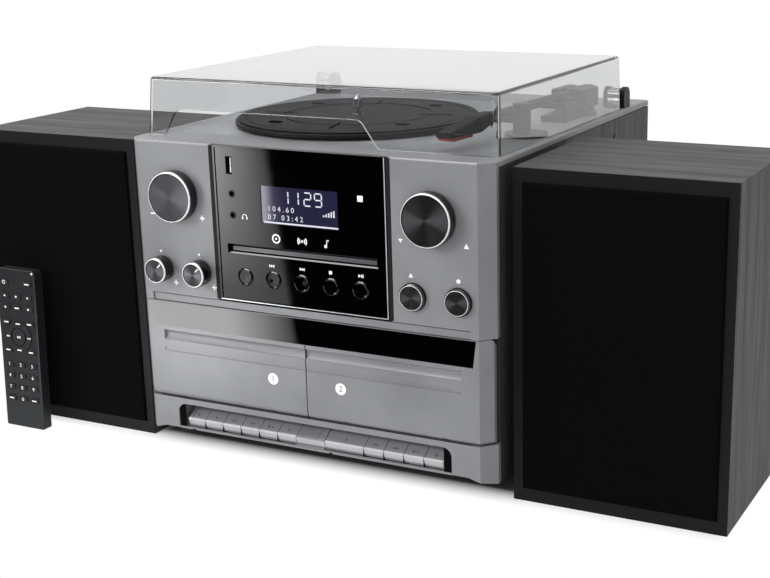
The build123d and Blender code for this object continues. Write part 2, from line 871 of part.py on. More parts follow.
# ---------------------------------------------------------------- knobs
# Each knob is a cup with a bevelled rim round a sunk face, on a shaft that passes the panel.
knobs = {
    "volume_knob": (-large_knob_x, large_knob_z, large_knob_radius, large_knob_reach),
    "scroll_knob": (large_knob_x, large_knob_z, large_knob_radius, large_knob_reach),
    "bass_knob": (bass_x, tone_knob_z, tone_knob_radius, tone_knob_reach),
    "treble_knob": (treble_x, tone_knob_z, tone_knob_radius, tone_knob_reach),
}
for name, (knob_x, knob_z, radius, reach) in knobs.items():
    with BuildPart() as knob:
        add(turned(
            [(0, -reach + face_sink), (radius - 2.2, -reach + face_sink), (radius - 2.0, -reach),
             (radius - 1.4, -reach), (radius - 0.5, -reach + 1.2), (radius, -reach + 1.8),
             (radius, -knob_clearance - 1), (radius - 0.6, -knob_clearance),
             (shaft_radius, -knob_clearance), (shaft_radius, shaft_length), (0, shaft_length)],
            knob_x, knob_z,
        ))
        if radius == tone_knob_radius:
            mark = Plane(
                origin=(knob_x, front_y - reach, knob_z), x_dir=(1, 0, 1), z_dir=(0, -1, 0)
            )
            with BuildSketch(mark):
                with Locations((radius - mark_inset, 0)):
                    Rectangle(mark_length, mark_width)
            extrude(amount=-2 * face_sink, mode=Mode.SUBTRACT)
    knob.part.label = name
    export_step(knob.part, f"parts/{name}.step")

# Eject and record buttons: ringed caps that slide in round holes of the front panel.
ring_buttons = {"eject_button": eject_x, "record_button": record_x}
for name, button_x in ring_buttons.items():
    with BuildPart() as button:
        add(turned(
            [(0, face_sink - ring_button_rise),
             (ring_button_radius - 2.0, face_sink - ring_button_rise),
             (ring_button_radius - 1.7, -ring_button_rise),
             (ring_button_radius - 1.0, -ring_button_rise),
             (ring_button_radius, 1.2 - ring_button_rise), (ring_button_radius, button_body),
             (0, button_body)],
            button_x, tone_knob_z,
        ))
    button.part.label = name
    export_step(button.part, f"parts/{name}.step")

# Round buttons under the disc slot.
for place, name in enumerate(round_button_names):
    button_x = (place - 2) * round_button_pitch
    cap_front = panel_face - round_button_rise
    with BuildPart() as button:
        add(turned(
            [(0, cap_front + 0.5), (round_button_radius - 1.6, cap_front + 0.3),
             (round_button_radius - 0.7, cap_front), (round_button_radius, cap_front + 0.7),
             (round_button_radius, button_body), (0, button_body)],
            button_x, round_button_z,
        ))
    button.part.label = name
    export_step(button.part, f"parts/{name}.step")

# ---------------------------------------------------------------- cassette decks
# Key surround: lower front moulding with the long cut-out for the keys, the fixed filler
# between the two sets, and the axle that the keys turn on.
key_profile = [
    (lip_depth + 0.9, lip_top + 0.5), (1.0, 26.0), (10.0, 31.6), (21.0, 35.4),
    (key_pivot_depth, key_pivot_z + key_hub_radius - 0.6),
    (key_pivot_depth, key_pivot_z - key_hub_radius + 0.6), (16.0, 27.0),
    (12.0, lip_top + 0.5),
]


def upper_cut(plan, drop):
    """Cutter for the upper faces of the keys: this plan, this far below the profile."""
    above = key_profile[3][1] + key_hub_radius
    nose, knee, crest = key_profile[1:4]
    slope = (knee[1] - nose[1]) / (knee[0] - nose[0])
    front_z = nose[1] + slope * (recess_front - nose[0])
    with BuildPart() as cutter:
        with BuildSketch(Plane.YZ.offset(-cutout_half)):
            with BuildLine():
                Polyline(
                    (front_y + recess_front, front_z - drop), (front_y + knee[0], knee[1] - drop),
                    (front_y + crest[0], crest[1] - drop), (front_y + recess_back, crest[1] - drop),
                    (front_y + recess_back, above), (front_y + recess_front, above), close=True,
                )
            make_face()
        extrude(amount=2 * cutout_half)
        with BuildSketch(Plane.XY):
            with BuildLine():
                Polyline(*[(x, front_y + depth) for x, depth in plan], close=True)
            make_face()
        extrude(amount=above, mode=Mode.INTERSECT)
    return cutter.part


cheek_x = [
    (-cutout_half, -cutout_half + cheek_width), (cutout_half - cheek_width, cutout_half),
]
with BuildPart() as key_surround:
    extrude(front_outline(unit_base), amount=surround_top - unit_base)
    extrude(
        front_outline(unit_base, inset=skin, back=trim_depth + skin),
        amount=surround_top - skin - unit_base, mode=Mode.SUBTRACT,
    )
    with BuildSketch(front_plane(trim_depth)):
        with BuildLine():
            Polyline(
                (-half_width, unit_base), (-crease_x, surround_rim), (crease_x, surround_rim),
                (half_width, unit_base), (half_width, 0), (-half_width, 0), close=True,
            )
        make_face()
    extrude(amount=trim_depth, mode=Mode.SUBTRACT)
    with BuildSketch(front_plane(skin)):
        with BuildLine():
            Polyline(
                (-cutout_half, 0), (cutout_half, 0), (cutout_half, cutout_top),
                (-cutout_half, cutout_top), close=True,
            )
        make_face()
    extrude(amount=skin, mode=Mode.SUBTRACT)
    corner_edges = (
        key_surround.edges().filter_by(Axis.Y)
        .filter_by(lambda edge: abs(abs(edge.center().X) - cutout_half) < 0.01)
        .filter_by(lambda edge: abs(edge.center().Z - cutout_top) < 0.01)
    )
    fillet(corner_edges, cutout_round)
    block((-cutout_half, cutout_half), (0, lip_depth), (lip_bottom, lip_top))
    for notch_x in lip_notches:
        block(
            (notch_x - lip_notch_width / 2, notch_x + lip_notch_width / 2), (0, lip_depth),
            (lip_bottom, lip_bottom + lip_notch_height), mode=Mode.SUBTRACT,
        )
    for cheek in cheek_x:
        block(cheek, (0.8, key_pivot_depth + 5), (lip_bottom, surround_top - skin))
    with BuildSketch(Plane.YZ.offset(-filler_half + key_gap / 2)):
        with BuildLine():
            Polyline(*[(front_y + depth, z) for depth, z in key_profile], close=True)
        make_face()
    extrude(amount=2 * filler_half - key_gap)
    block(
        (-filler_half + key_gap / 2, filler_half - key_gap / 2), (1, key_pivot_depth),
        (lip_bottom, lip_top + 1),
    )
    add(upper_cut([
        (-filler_half, recess_front), (slit_x, recess_front), (slit_x + slit_lean, recess_back),
        (-filler_half, recess_back),
    ], recess_drop), mode=Mode.SUBTRACT)
    slit_end_x = slit_x + slit_lean / 3
    slit_end_depth = recess_front + (recess_back - recess_front) / 3
    add(upper_cut([
        (slit_x, recess_front), (slit_x + slit_width, recess_front),
        (slit_end_x + slit_width, slit_end_depth), (slit_end_x, slit_end_depth),
    ], slit_depth), mode=Mode.SUBTRACT)
    block(
        (-filler_half + key_gap / 2, filler_half - key_gap / 2), (recess_back, key_pivot_depth),
        (filler_web, surround_top - skin),
    )
    with BuildSketch(Plane.YZ.offset(-cutout_half)):
        with Locations((front_y + key_pivot_depth, key_pivot_z)):
            Circle(axle_radius)
    extrude(amount=2 * cutout_half)
key_surround.part.label = "key_surround"
export_step(key_surround.part, "parts/key_surround.step")

# Piano keys: six for the left deck, a wide play key and four more for the right deck.
left_keys = ("record_key", "left_play_key", "left_rewind_key", "left_forward_key",
             "left_stop_key", "left_pause_key")
right_keys = ("right_rewind_key", "right_forward_key", "right_stop_key", "right_pause_key")
key_limits = {}
for place, name in enumerate(left_keys):
    key_left = -filler_half - (len(left_keys) - place) * key_pitch
    key_limits[name] = (key_left, key_left + key_pitch)
key_limits["right_play_key"] = (filler_half, filler_half + wide_key * key_pitch)
for place, name in enumerate(right_keys):
    key_left = filler_half + (wide_key + place) * key_pitch
    key_limits[name] = (key_left, key_left + key_pitch)

key_ends = {
    "record_key": key_limits["record_key"][0] + key_gap / 2,
    "right_pause_key": key_limits["right_pause_key"][1] - key_gap / 2,
}

for name, (key_left, key_right) in key_limits.items():
    with BuildPart() as key:
        with BuildSketch(Plane.YZ.offset(key_left + key_gap / 2)):
            with BuildLine():
                Polyline(*[(front_y + depth, z) for depth, z in key_profile], close=True)
            make_face()
            with Locations((front_y + key_pivot_depth, key_pivot_z)):
                Circle(key_hub_radius)
                Circle(axle_radius + bearing_gap, mode=Mode.SUBTRACT)
        extrude(amount=key_right - key_left - key_gap)
        fillet(key.edges().filter_by(Axis.X).group_by(Axis.Y)[0], 1.2)
        if name in key_ends:
            end_edges = key.edges().filter_by(
                lambda edge: abs(edge.center().X - key_ends[name]) < 0.01
                and edge.center().Y < front_y + key_profile[2][0]
                and edge.center().Z > lip_top + 1
            )
            fillet(end_edges, key_end_round)
        recess_left = key_left
        if name == "record_key":
            recess_left = key_left + recess_margin
        add(upper_cut([
            (recess_left, recess_front), (key_right, recess_front), (key_right, recess_back),
            (recess_left, recess_back),
        ], recess_drop), mode=Mode.SUBTRACT)
    key.part.label = name
    export_step(key.part, f"parts/{name}.step")

# Cassette doors: shell with an angled outer corner, a rounded lower edge about the pivot,
# a long finger scoop under the window, and the carrier that holds the cassette behind it.
carrier_bottom = well_bottom + 1.5
door_top = ledge_bottom - seam
for side, door_name, window_name in (
    (-1, "left_door", "left_door_window"), (1, "right_door", "right_door_window"),
):
    middle = side * well_centre
    split_plane = Plane(
        origin=(side * door_split, front_y, 0), x_dir=(0, 1, 0), z_dir=(side, 0, 0)
    )
    with BuildPart() as door:
        extrude(
            front_outline(door_bottom, back=door_back, side_step=door_side_step),
            amount=door_top - door_bottom,
        )
        low_edges = (
            door.edges().group_by(Axis.Z)[0].filter_by(Axis.Y, reverse=True)
            .sort_by(Axis.Y)[:-1]
        )
        fillet(low_edges, door_pivot_depth - 0.01)
        top_back = door.edges().group_by(Axis.Z)[-1].filter_by(Axis.X).sort_by(Axis.Y)[-1]
        chamfer(top_back, 5)
        extrude(
            front_outline(
                door_bottom + 2 * door_pivot_depth, inset=door_wall, back=door_back + 1,
                side_step=door_side_step,
            ),
            amount=door_top - door_bottom - 2 * door_pivot_depth - skin, mode=Mode.SUBTRACT,
        )
        split(bisect_by=split_plane, keep=Keep.TOP)
        block(
            sorted((side * door_split, side * (door_split + skin))),
            (door_wall - 1, door_back - 5), (door_bottom + door_pivot_depth, door_top - 1),
        )
        with BuildSketch(front_plane(band_thickness)):
            with BuildLine():
                Polyline(
                    (0, band_bottom), (side * band_end_bottom, band_bottom),
                    (side * band_end_top, band_top), (0, band_top), close=True,
                )
            make_face()
        extrude(amount=band_thickness, mode=Mode.SUBTRACT)
        block(
            (middle - view_half, middle + view_half), (band_thickness, door_wall),
            (view_bottom, view_top), mode=Mode.SUBTRACT,
        )
        scoop_middle = (scoop_bottom + scoop_top) / 2
        scoop_profile = Plane(
            origin=(0, front_y, scoop_middle), x_dir=(0, 1, 0), z_dir=(side, 0, 0)
        )
        with BuildSketch(scoop_profile):
            with BuildLine():
                half_scoop = (scoop_top - scoop_bottom) / 2
                ThreePointArc((0, -half_scoop), (scoop_depth, 0), (0, half_scoop))
                Line((0, half_scoop), (0, -half_scoop))
            make_face()
        extrude(amount=scoop_end, mode=Mode.SUBTRACT)
        groove_middle = (groove_bottom + groove_top) / 2
        with BuildSketch(front_plane(groove_depth)):
            with Locations((side * scoop_end / 2, groove_middle)):
                Rectangle(scoop_end, groove_top - groove_bottom)
        extrude(amount=groove_depth, mode=Mode.SUBTRACT)
        for guide in (-1, 1):
            outer = middle + guide * carrier_half
            inner = outer - guide * carrier_wall
            block(sorted((outer, inner)), (door_wall, carrier_depth), (carrier_bottom, carrier_top))
            block(
                sorted((outer, outer - guide * carrier_tongue)),
                (carrier_depth - carrier_lip, carrier_depth),
                (carrier_bottom, carrier_top),
            )
        block(
            (middle - carrier_half, middle + carrier_half), (door_wall, carrier_depth),
            (carrier_bottom, carrier_bottom + carrier_wall),
        )
        for ear_x in (middle - ear_spread, middle + ear_spread):
            block(
                (ear_x - ear_width / 2 - ear_gap, ear_x + ear_width / 2 + ear_gap),
                (ear_slot_wall, door_back + 1), (door_bottom - 1, carrier_bottom),
                mode=Mode.SUBTRACT,
            )
            with BuildSketch(Plane.YZ.offset(ear_x - ear_width / 2 - door_pin_length - ear_gap)):
                with Locations((front_y + door_pivot_depth, door_pivot_z)):
                    Circle(door_pin_radius + bearing_gap)
            extrude(
                amount=ear_width + 2 * (door_pin_length + ear_gap), mode=Mode.SUBTRACT
            )
    door.part.label = door_name
    export_step(door.part, f"parts/{door_name}.step")
    with BuildPart() as door_window:
        with BuildSketch(front_plane(band_thickness)):
            with BuildLine():
                Polyline(
                    (side * door_split, band_bottom), (side * band_end_bottom, band_bottom),
                    (side * band_end_top, band_top), (side * door_split, band_top), close=True,
                )
            make_face()
        extrude(amount=band_thickness)
    door_window.part.label = window_name
    export_step(door_window.part, f"parts/{window_name}.step")

# Cassette mechanisms: one chassis behind each well with its heads, capstan and flywheel.
chassis_back = well_depth + chassis_thickness
with BuildPart() as cassette_mechanisms:
    for side in (-1, 1):
        middle = side * well_centre
        block(
            (middle - chassis_half - 5, middle + chassis_half + 5), (well_depth, chassis_back),
            (chassis_bottom, chassis_top),
        )
        head_front = well_depth - head_thickness
        block((middle - head_half, middle + head_half), (head_front, well_depth), head_z)
        block(
            (middle - head_face_half, middle + head_face_half),
            (head_front - head_face_rise, head_front), head_face_z,
        )
        with BuildSketch(front_plane(well_depth)):
            with Locations((middle + capstan_offset, roller_z)):
                Circle(roller_radius)
        extrude(amount=roller_thickness)
        with BuildSketch(front_plane(chassis_back)):
            with Locations((middle + capstan_offset, chassis_bottom + flywheel_radius)):
                Circle(flywheel_radius)
        extrude(amount=-flywheel_thickness)
        with BuildSketch(front_plane(chassis_back)):
            with Locations((middle + motor_offset, motor_z)):
                Circle(deck_motor_radius)
        extrude(amount=-deck_motor_length)
        with BuildSketch(front_plane(well_depth)):
            with Locations((middle - reel_spacing / 2, reel_z), (middle + reel_spacing / 2, reel_z)):
                Circle(reel_core - bearing_gap)
        extrude(amount=reel_stud_length)
cassette_mechanisms.part.label = "cassette_mechanisms"
export_step(cassette_mechanisms.part, "parts/cassette_mechanisms.step")

# Reel spindles: splined hubs that turn on studs of the chassis.
reels = {
    "left_supply_reel": -well_centre - reel_spacing / 2,
    "left_take_up_reel": -well_centre + reel_spacing / 2,
    "right_supply_reel": well_centre - reel_spacing / 2,
    "right_take_up_reel": well_centre + reel_spacing / 2,
}
reel_back = well_depth - rest_gap
stud_end = reel_back - reel_stud_length
for name, reel_x in reels.items():
    with BuildPart() as reel:
        add(turned(
            [(reel_core, reel_back), (reel_radius + reel_flange, reel_back),
             (reel_radius + reel_flange, reel_back - 1.5),
             (reel_radius, reel_back - 3), (reel_radius, reel_tip_depth + 2),
             (reel_radius - 1.5, reel_tip_depth), (0, reel_tip_depth),
             (0, stud_end), (reel_core, stud_end)],
            reel_x, reel_z,
        ))
        with BuildSketch(front_plane(reel_back - 3)):
            with Locations((reel_x, reel_z)):
                with PolarLocations(reel_radius, 3):
                    Rectangle(reel_rib_width, reel_rib_rise)
        extrude(amount=reel_back - 3 - reel_tip_depth - 2)
    reel.part.label = name
    export_step(reel.part, f"parts/{name}.step")

# ---------------------------------------------------------------- turntable
# Platter: disc with a turned rim, a hub on the spindle and a drive ring in the well.
platter_bore = bearing_radius + bearing_gap
with BuildPart() as platter:
    add(upright(
        [(platter_bore, boss_top + thrust_gap), (hub_radius, boss_top + thrust_gap),
         (hub_radius, platter_bottom), (drive_ring_radius - drive_ring_wall, platter_bottom),
         (drive_ring_radius - drive_ring_wall, well_floor + 4),
         (drive_ring_radius, well_floor + 4), (drive_ring_radius, platter_bottom),
         (platter_radius - 1, platter_bottom), (platter_radius, platter_bottom + 1),
         (platter_radius, platter_top - 0.4), (platter_radius - 0.4, platter_top),
         (platter_bore, platter_top)],
        spindle_x, spindle_depth,
    ))
platter.part.label = "platter"
export_step(platter.part, "parts/platter.step")

# Platter mat: rubber sheet with a raised ring under a small record and one near its edge.
mat_hole = bearing_radius + mat_slack
with BuildPart() as platter_mat:
    add(upright(
        [(mat_hole, platter_top), (mat_radius, platter_top),
         (mat_radius, mat_top - 0.5), (mat_radius - 0.5, mat_top), (mat_radius - 6, mat_top),
         (mat_radius - 6, mat_top - 0.5), (mat_radius - 7, mat_top - 0.5), (mat_radius - 7, mat_top),
         (mat_ring_radius + 1, mat_top), (mat_ring_radius + 1, mat_top - 0.7),
         (mat_ring_radius - 1, mat_top - 0.7), (mat_ring_radius - 1, mat_top),
         (label_radius, mat_top - 2 * seat_drop), (mat_hole, mat_top - 2 * seat_drop)],
        spindle_x, spindle_depth,
    ))
platter_mat.part.label = "platter_mat"
export_step(platter_mat.part, "parts/platter_mat.step")

# ---------------------------------------------------------------- tone arm
tube_length = math.hypot(pivot_x - bend_x, pivot_depth - bend_depth)
arm_direction = Vector(
    (bend_x - pivot_x) / tube_length, (bend_depth - pivot_depth) / tube_length, 0
)
arm_origin = Vector(pivot_x, front_y + pivot_depth, 0)
head_direction = arm_direction.rotate(Axis.Z, -head_angle)
head_origin = Vector(bend_x, front_y + bend_depth, 0)


def across_arm(distance, height):
    """Plane square to the arm, this far from its pivot, with Z up."""
    place = arm_origin + arm_direction * distance + Vector(0, 0, height)
    return Plane(origin=place, x_dir=(-arm_direction.Y, arm_direction.X, 0), z_dir=arm_direction)


def across_head(distance, height):
    """Plane square to the head shell, this far from its start, with Z up."""
    place = head_origin + head_direction * distance + Vector(0, 0, height)
    return Plane(
        origin=place, x_dir=(-head_direction.Y, head_direction.X, 0), z_dir=head_direction
    )


def along_arm(height):
    """Level plane at the pivot with X along the arm."""
    return Plane(
        origin=arm_origin + Vector(0, 0, height), x_dir=arm_direction, z_dir=(0, 0, 1)
    )


# Arm base: round foot with the bearing post and the pillar of the cue lever.
cue_depth = pivot_depth + arm_direction.Y * cue_distance
cue_height = tube_height - tube_radius - rest_gap - cue_bar_radius - 0.1
cue_height -= cue_throw * math.sin(math.radians(cue_low_angle))
with BuildPart() as arm_base:
    add(upright(
        [(0, deck_top), (arm_base_radius, deck_top), (arm_base_radius, arm_base_top - 2),
         (arm_base_radius - 2, arm_base_top), (post_radius, arm_base_top), (post_radius, post_top),
         (0, post_top)],
        pivot_x, pivot_depth,
    ))
    block(
        (cue_post_x, cue_post_x + cue_post_width),
        (cue_depth - cue_post_half, cue_depth + cue_post_half),
        (deck_top, cue_height + 4),
    )
    block(
        (cue_foot_x, cue_post_x + cue_post_width),
        (cue_depth - cue_foot_front, cue_depth + cue_foot_back),
        (deck_top, deck_top + cue_foot_height),
    )
    with BuildSketch(Plane.YZ.offset(cue_post_x)):
        with Locations((front_y + cue_depth, cue_height)):
            Circle(cue_shaft_radius + bearing_gap)
    extrude(amount=cue_post_width, mode=Mode.SUBTRACT)
arm_base.part.label = "arm_base"
export_step(arm_base.part, "parts/arm_base.step")

# Cue lever: shaft through the pillar, an offset lifting bar under the arm, and a handle.
cue_low = math.radians(cue_low_angle)
bar_depth = cue_depth - cue_throw * math.cos(cue_low)
bar_height = cue_height + cue_throw * math.sin(cue_low)
with BuildPart() as cue_lever:
    with BuildSketch(Plane.YZ.offset(cue_post_x - 2)):
        with Locations((front_y + cue_depth, cue_height)):
            Circle(cue_shaft_radius)
    extrude(amount=cue_post_width + 4.5)
    with BuildSketch(Plane.YZ.offset(cue_post_x - 2)):
        with Locations((front_y + cue_depth, cue_height)):
            Circle(cue_boss_radius)
        with Locations((front_y + bar_depth, bar_height)):
            Circle(cue_shaft_radius)
    extrude(amount=cue_crank)
    with BuildSketch(Plane.YZ.offset(cue_bar_end)):
        with Locations((front_y + bar_depth, bar_height)):
            Circle(cue_bar_radius)
    extrude(amount=cue_post_x - 1 - cue_bar_end)
    with BuildSketch(Plane.YZ.offset(cue_post_x + cue_post_width + 0.5)):
        with Locations((front_y + cue_depth - cue_handle / 2, cue_height)):
            SlotOverall(cue_handle + cue_handle_height, cue_handle_height)
    extrude(amount=2)
cue_lever.part.label = "cue_lever"
export_step(cue_lever.part, "parts/cue_lever.step")

# Arm rest: pillar on a round foot, with a shelf under the arm.
shelf_top = tube_height - tube_radius - rest_gap
with BuildPart() as arm_rest:
    with Locations((rest_base_x, front_y + rest_base_depth, deck_top)):
        Cylinder(rest_base_radius, rest_base_height, align=(Align.CENTER, Align.CENTER, Align.MIN))
    with Locations((rest_x, front_y + rest_depth, deck_top)):
        Cylinder(rest_radius, rest_top - deck_top, align=(Align.CENTER, Align.CENTER, Align.MIN))
    shelf_depth = (rest_depth - shelf_half, rest_depth + shelf_half)
    block((shelf_end, rest_x), shelf_depth, (shelf_top - shelf_thickness, shelf_top))
    block((shelf_step, rest_x), shelf_depth, (shelf_top, shelf_top + 2 * shelf_thickness))
arm_rest.part.label = "arm_rest"
export_step(arm_rest.part, "parts/arm_rest.step")

# Arm turret: turns on the post and carries the arm between two cheeks.
with BuildPart() as arm_turret:
    with BuildSketch(along_arm(arm_base_top + rest_gap)):
        Circle(arm_base_radius - 2)
    extrude(amount=yoke_floor - arm_base_top - 2)
    with BuildSketch(along_arm(yoke_floor - 3)):
        with Locations(((turret_front - turret_back) / 2, 0)):
            RectangleRounded(turret_front + turret_back, 2 * turret_half, 4)
    extrude(amount=turret_top - yoke_floor + 3)
    fillet(arm_turret.edges().group_by(Axis.Z)[-1], 1.5)
    with BuildSketch(along_arm(yoke_floor + 1)):
        Rectangle(3 * turret_front, turret_slot)
    extrude(amount=turret_top, mode=Mode.SUBTRACT)
    with BuildSketch(along_arm(arm_base_top)):
        Circle(post_radius + bearing_gap)
    extrude(amount=post_top - arm_base_top + rest_gap, mode=Mode.SUBTRACT)
    with BuildSketch(Plane(
        origin=arm_origin + Vector(0, 0, tube_height), x_dir=arm_direction,
        z_dir=(-arm_direction.Y, arm_direction.X, 0),
    )):
        Circle(arm_pin_radius + bearing_gap)
    extrude(amount=turret_slot / 2 + arm_pin_length + 0.3, both=True, mode=Mode.SUBTRACT)
arm_turret.part.label = "arm_turret"
export_step(arm_turret.part, "parts/arm_turret.step")

# Tone arm: pivot block with pins, straight tube, head shell and rear weight.
with BuildPart() as tonearm:
    with BuildSketch(along_arm(tube_height - tube_radius)):
        Rectangle(2 * arm_block_half, arm_block_width)
    extrude(amount=2 * tube_radius)
    with BuildSketch(Plane(
        origin=arm_origin + Vector(0, 0, tube_height), x_dir=arm_direction,
        z_dir=(-arm_direction.Y, arm_direction.X, 0),
    )):
        Circle(arm_pin_radius)
    extrude(amount=turret_slot / 2 + arm_pin_length, both=True)
    with BuildSketch(across_arm(0, tube_height)):
        Circle(tube_radius)
    extrude(amount=tube_length)
    with BuildSketch(across_arm(-weight_near - 2, tube_height)):
        Rectangle(8, 6)
    extrude(amount=weight_near)
    with BuildSketch(across_arm(-weight_far, tube_height - 2.5)):
        RectangleRounded(2 * weight_half, weight_height, 2.5)
    extrude(amount=weight_far - weight_near)
    with BuildSketch(across_head(-shell_overlap, tube_height)):
        RectangleRounded(shell_collar, shell_collar_height, 2)
    with BuildSketch(across_head(shell_widens, shell_floor + shell_height / 2)):
        RectangleRounded(shell_width, shell_height, 2)
    with BuildSketch(across_head(shell_length, shell_floor + shell_nose_height / 2)):
        RectangleRounded(shell_nose, shell_nose_height, 1.6)
    loft(ruled=True)
    with BuildSketch(Plane(
        origin=head_origin + Vector(0, 0, shell_floor + shell_nose_height - lift_thickness),
        x_dir=head_direction, z_dir=(0, 0, 1),
    )):
        with Locations((shell_length - lift_width, (shell_nose + lift_length) / 2)):
            RectangleRounded(lift_width, lift_length, lift_width / 2.1)
        with Locations((shell_length - lift_width, shell_nose / 2)):
            Rectangle(lift_width, shell_nose / 2)
    extrude(amount=lift_thickness)
tonearm.part.label = "tonearm"
export_step(tonearm.part, "parts/tonearm.step")

# Stylus: the plug-in needle holder under the front of the head shell.
needle = shell_length - stylus_tip
with BuildPart() as stylus:
    with BuildSketch(Plane(
        origin=head_origin, x_dir=head_direction,
        z_dir=(-head_direction.Y, head_direction.X, 0),
    )):
        with BuildLine():
            Polyline(
                (shell_length - stylus_length, -shell_floor), (shell_length, -shell_floor),
                (shell_length, -stylus_height - 1.2), (needle + 1, -stylus_height),
                (needle - 1, -stylus_height),
                (shell_length - stylus_length, -stylus_height - 0.8), close=True,
            )
        make_face()
    extrude(amount=stylus_half, both=True)
stylus.part.label = "stylus"
export_step(stylus.part, "parts/stylus.step")

# Speed switch: finger slide on the deck behind the platter.
with BuildPart() as speed_switch:
    block(
        (switch_x - switch_half, switch_x + switch_half),
        (switch_depth - switch_plate_half, switch_depth + switch_plate_half),
        (deck_top + rest_gap, deck_top + switch_plate),
    )
    block(
        (switch_x - switch_grip_half, switch_x + switch_grip_half),
        (switch_depth - switch_grip_half, switch_depth + switch_grip_half),
        (deck_top + switch_plate, deck_top + switch_grip_top),
    )
speed_switch.part.label = "speed_switch"
export_step(speed_switch.part, "parts/speed_switch.step")

# ---------------------------------------------------------------- dust cover
# Hinge brackets: rounded blocks behind the cover, each with a slot for a knuckle and a pin.
with BuildPart() as hinge_brackets:
    for side in (-1, 1):
        inner_plane = Plane(
            origin=(side * hinge_inner, front_y, 0), x_dir=(0, 1, 0), z_dir=(side, 0, 0)
        )
        with BuildSketch(inner_plane):
            with Locations((hinge_depth, side * hinge_z)):
                Circle(hinge_radius)
            with Locations((hinge_depth, side * (deck_top + hinge_z) / 2)):
                Rectangle(2 * hinge_radius, hinge_z - deck_top)
        extrude(amount=hinge_outer - hinge_inner)
        block(
            sorted((side * (knuckle_inner - knuckle_gap), side * (knuckle_outer + knuckle_gap))),
            (hinge_depth - hinge_radius, hinge_depth + hinge_radius),
            (deck_top + 1.5, hinge_z + hinge_radius), mode=Mode.SUBTRACT,
        )
        with BuildSketch(inner_plane):
            with Locations((hinge_depth, side * hinge_z)):
                Circle(pin_radius)
        extrude(amount=hinge_outer - hinge_inner)
hinge_brackets.part.label = "hinge_brackets"
export_step(hinge_brackets.part, "parts/hinge_brackets.step")


def cover_block(inset, z_low, z_high):
    """Tapered block of the dust cover, moved inwards from its outer faces by inset."""
    with BuildPart() as taper:
        for z in (z_low, z_high):
            share = (z - lid_bottom) / (lid_top - lid_bottom)
            half = lid_half - lid_side_lean * share - inset
            front = lid_front + lid_front_lean * share + inset
            back = lid_back - inset
            with BuildSketch(Plane.XY.offset(z)):
                with Locations((0, front_y + (front + back) / 2)):
                    RectangleRounded(2 * half, back - front, lid_round - inset)
        loft()
    return taper.part


# Dust cover: one tapered moulding, open below, with the long notch in its front wall.
notch_depth = lid_front + lid_front_lean + 2 * lid_wall
flare = 2 * notch_foot_round
with BuildPart() as dust_cover:
    add(cover_block(0, lid_bottom, lid_top))
    fillet(dust_cover.edges().group_by(Axis.Z)[-1], lid_top_round)
    add(cover_block(lid_wall, lid_bottom, lid_top - lid_wall), mode=Mode.SUBTRACT)
    with BuildSketch(front_plane(notch_depth)):
        with BuildLine():
            Polyline(
                (notch_left_bottom - flare, lid_bottom - 1), (notch_left_bottom - flare, lid_bottom),
                (notch_left_bottom, lid_bottom), (notch_left_top, notch_top),
                (notch_right_top, notch_top), (notch_right_bottom, lid_bottom),
                (notch_right_bottom + flare, lid_bottom),
                (notch_right_bottom + flare, lid_bottom - 1), close=True,
            )
        make_face()
        fillet(vertices().group_by(Axis.Y)[-1], notch_round)
        feet_of_notch = vertices().filter_by(
            lambda corner: abs(corner.Y - lid_bottom) < 0.01
            and abs(corner.X) < abs(notch_left_bottom) + flare / 2
            and min(abs(corner.X - notch_left_bottom), abs(corner.X - notch_right_bottom)) < 0.01
        )
        fillet(feet_of_notch, notch_foot_round)
    extrude(amount=notch_depth, mode=Mode.SUBTRACT)
    for side in (-1, 1):
        knuckle_plane = Plane(
            origin=(side * knuckle_inner, front_y, 0), x_dir=(0, 1, 0), z_dir=(side, 0, 0)
        )
        with BuildSketch(knuckle_plane):
            with Locations((hinge_depth, side * hinge_z)):
                Circle(knuckle_radius)
            with Locations(((lid_back - knuckle_bite + hinge_depth) / 2, side * hinge_z)):
                Rectangle(hinge_depth - lid_back + knuckle_bite, 2 * knuckle_radius - 2)
            with Locations((hinge_depth, side * hinge_z)):
                Circle(pin_radius + bearing_gap, mode=Mode.SUBTRACT)
        extrude(amount=knuckle_outer - knuckle_inner)
dust_cover.part.label = "dust_cover"
export_step(dust_cover.part, "parts/dust_cover.step")

# ---------------------------------------------------------------- loudspeakers
speaker_back = speaker_setback + speaker_depth
grille_front = speaker_setback - grille_rise
grille_back = grille_front + grille_thickness
baffle_back = grille_back + baffle
speaker_middle = half_width + speaker_gap + speaker_width / 2
with BuildPart() as speaker_cabinets:
    with BuildSketch(front_plane(speaker_back)):
        with Locations((-speaker_middle, speaker_height / 2), (speaker_middle, speaker_height / 2)):
            Rectangle(speaker_width, speaker_height)
    extrude(amount=speaker_depth)
    with BuildSketch(front_plane(grille_back)):
        with Locations((-speaker_middle, speaker_height / 2), (speaker_middle, speaker_height / 2)):
            Rectangle(grille_width + fit_gap, grille_height + fit_gap)
    extrude(amount=grille_thickness, mode=Mode.SUBTRACT)
    with BuildSketch(front_plane(speaker_back - speaker_board)):
        with Locations((-speaker_middle, speaker_height / 2), (speaker_middle, speaker_height / 2)):
            Rectangle(speaker_width - 2 * speaker_board, speaker_height - 2 * speaker_board)
    extrude(amount=speaker_back - speaker_board - baffle_back, mode=Mode.SUBTRACT)
    with BuildSketch(front_plane(baffle_back)):
        with Locations((-speaker_middle, driver_z), (speaker_middle, driver_z)):
            Circle(driver_hole)
    extrude(amount=baffle, mode=Mode.SUBTRACT)
speaker_cabinets.part.label = "speaker_cabinets"
export_step(speaker_cabinets.part, "parts/speaker_cabinets.step")

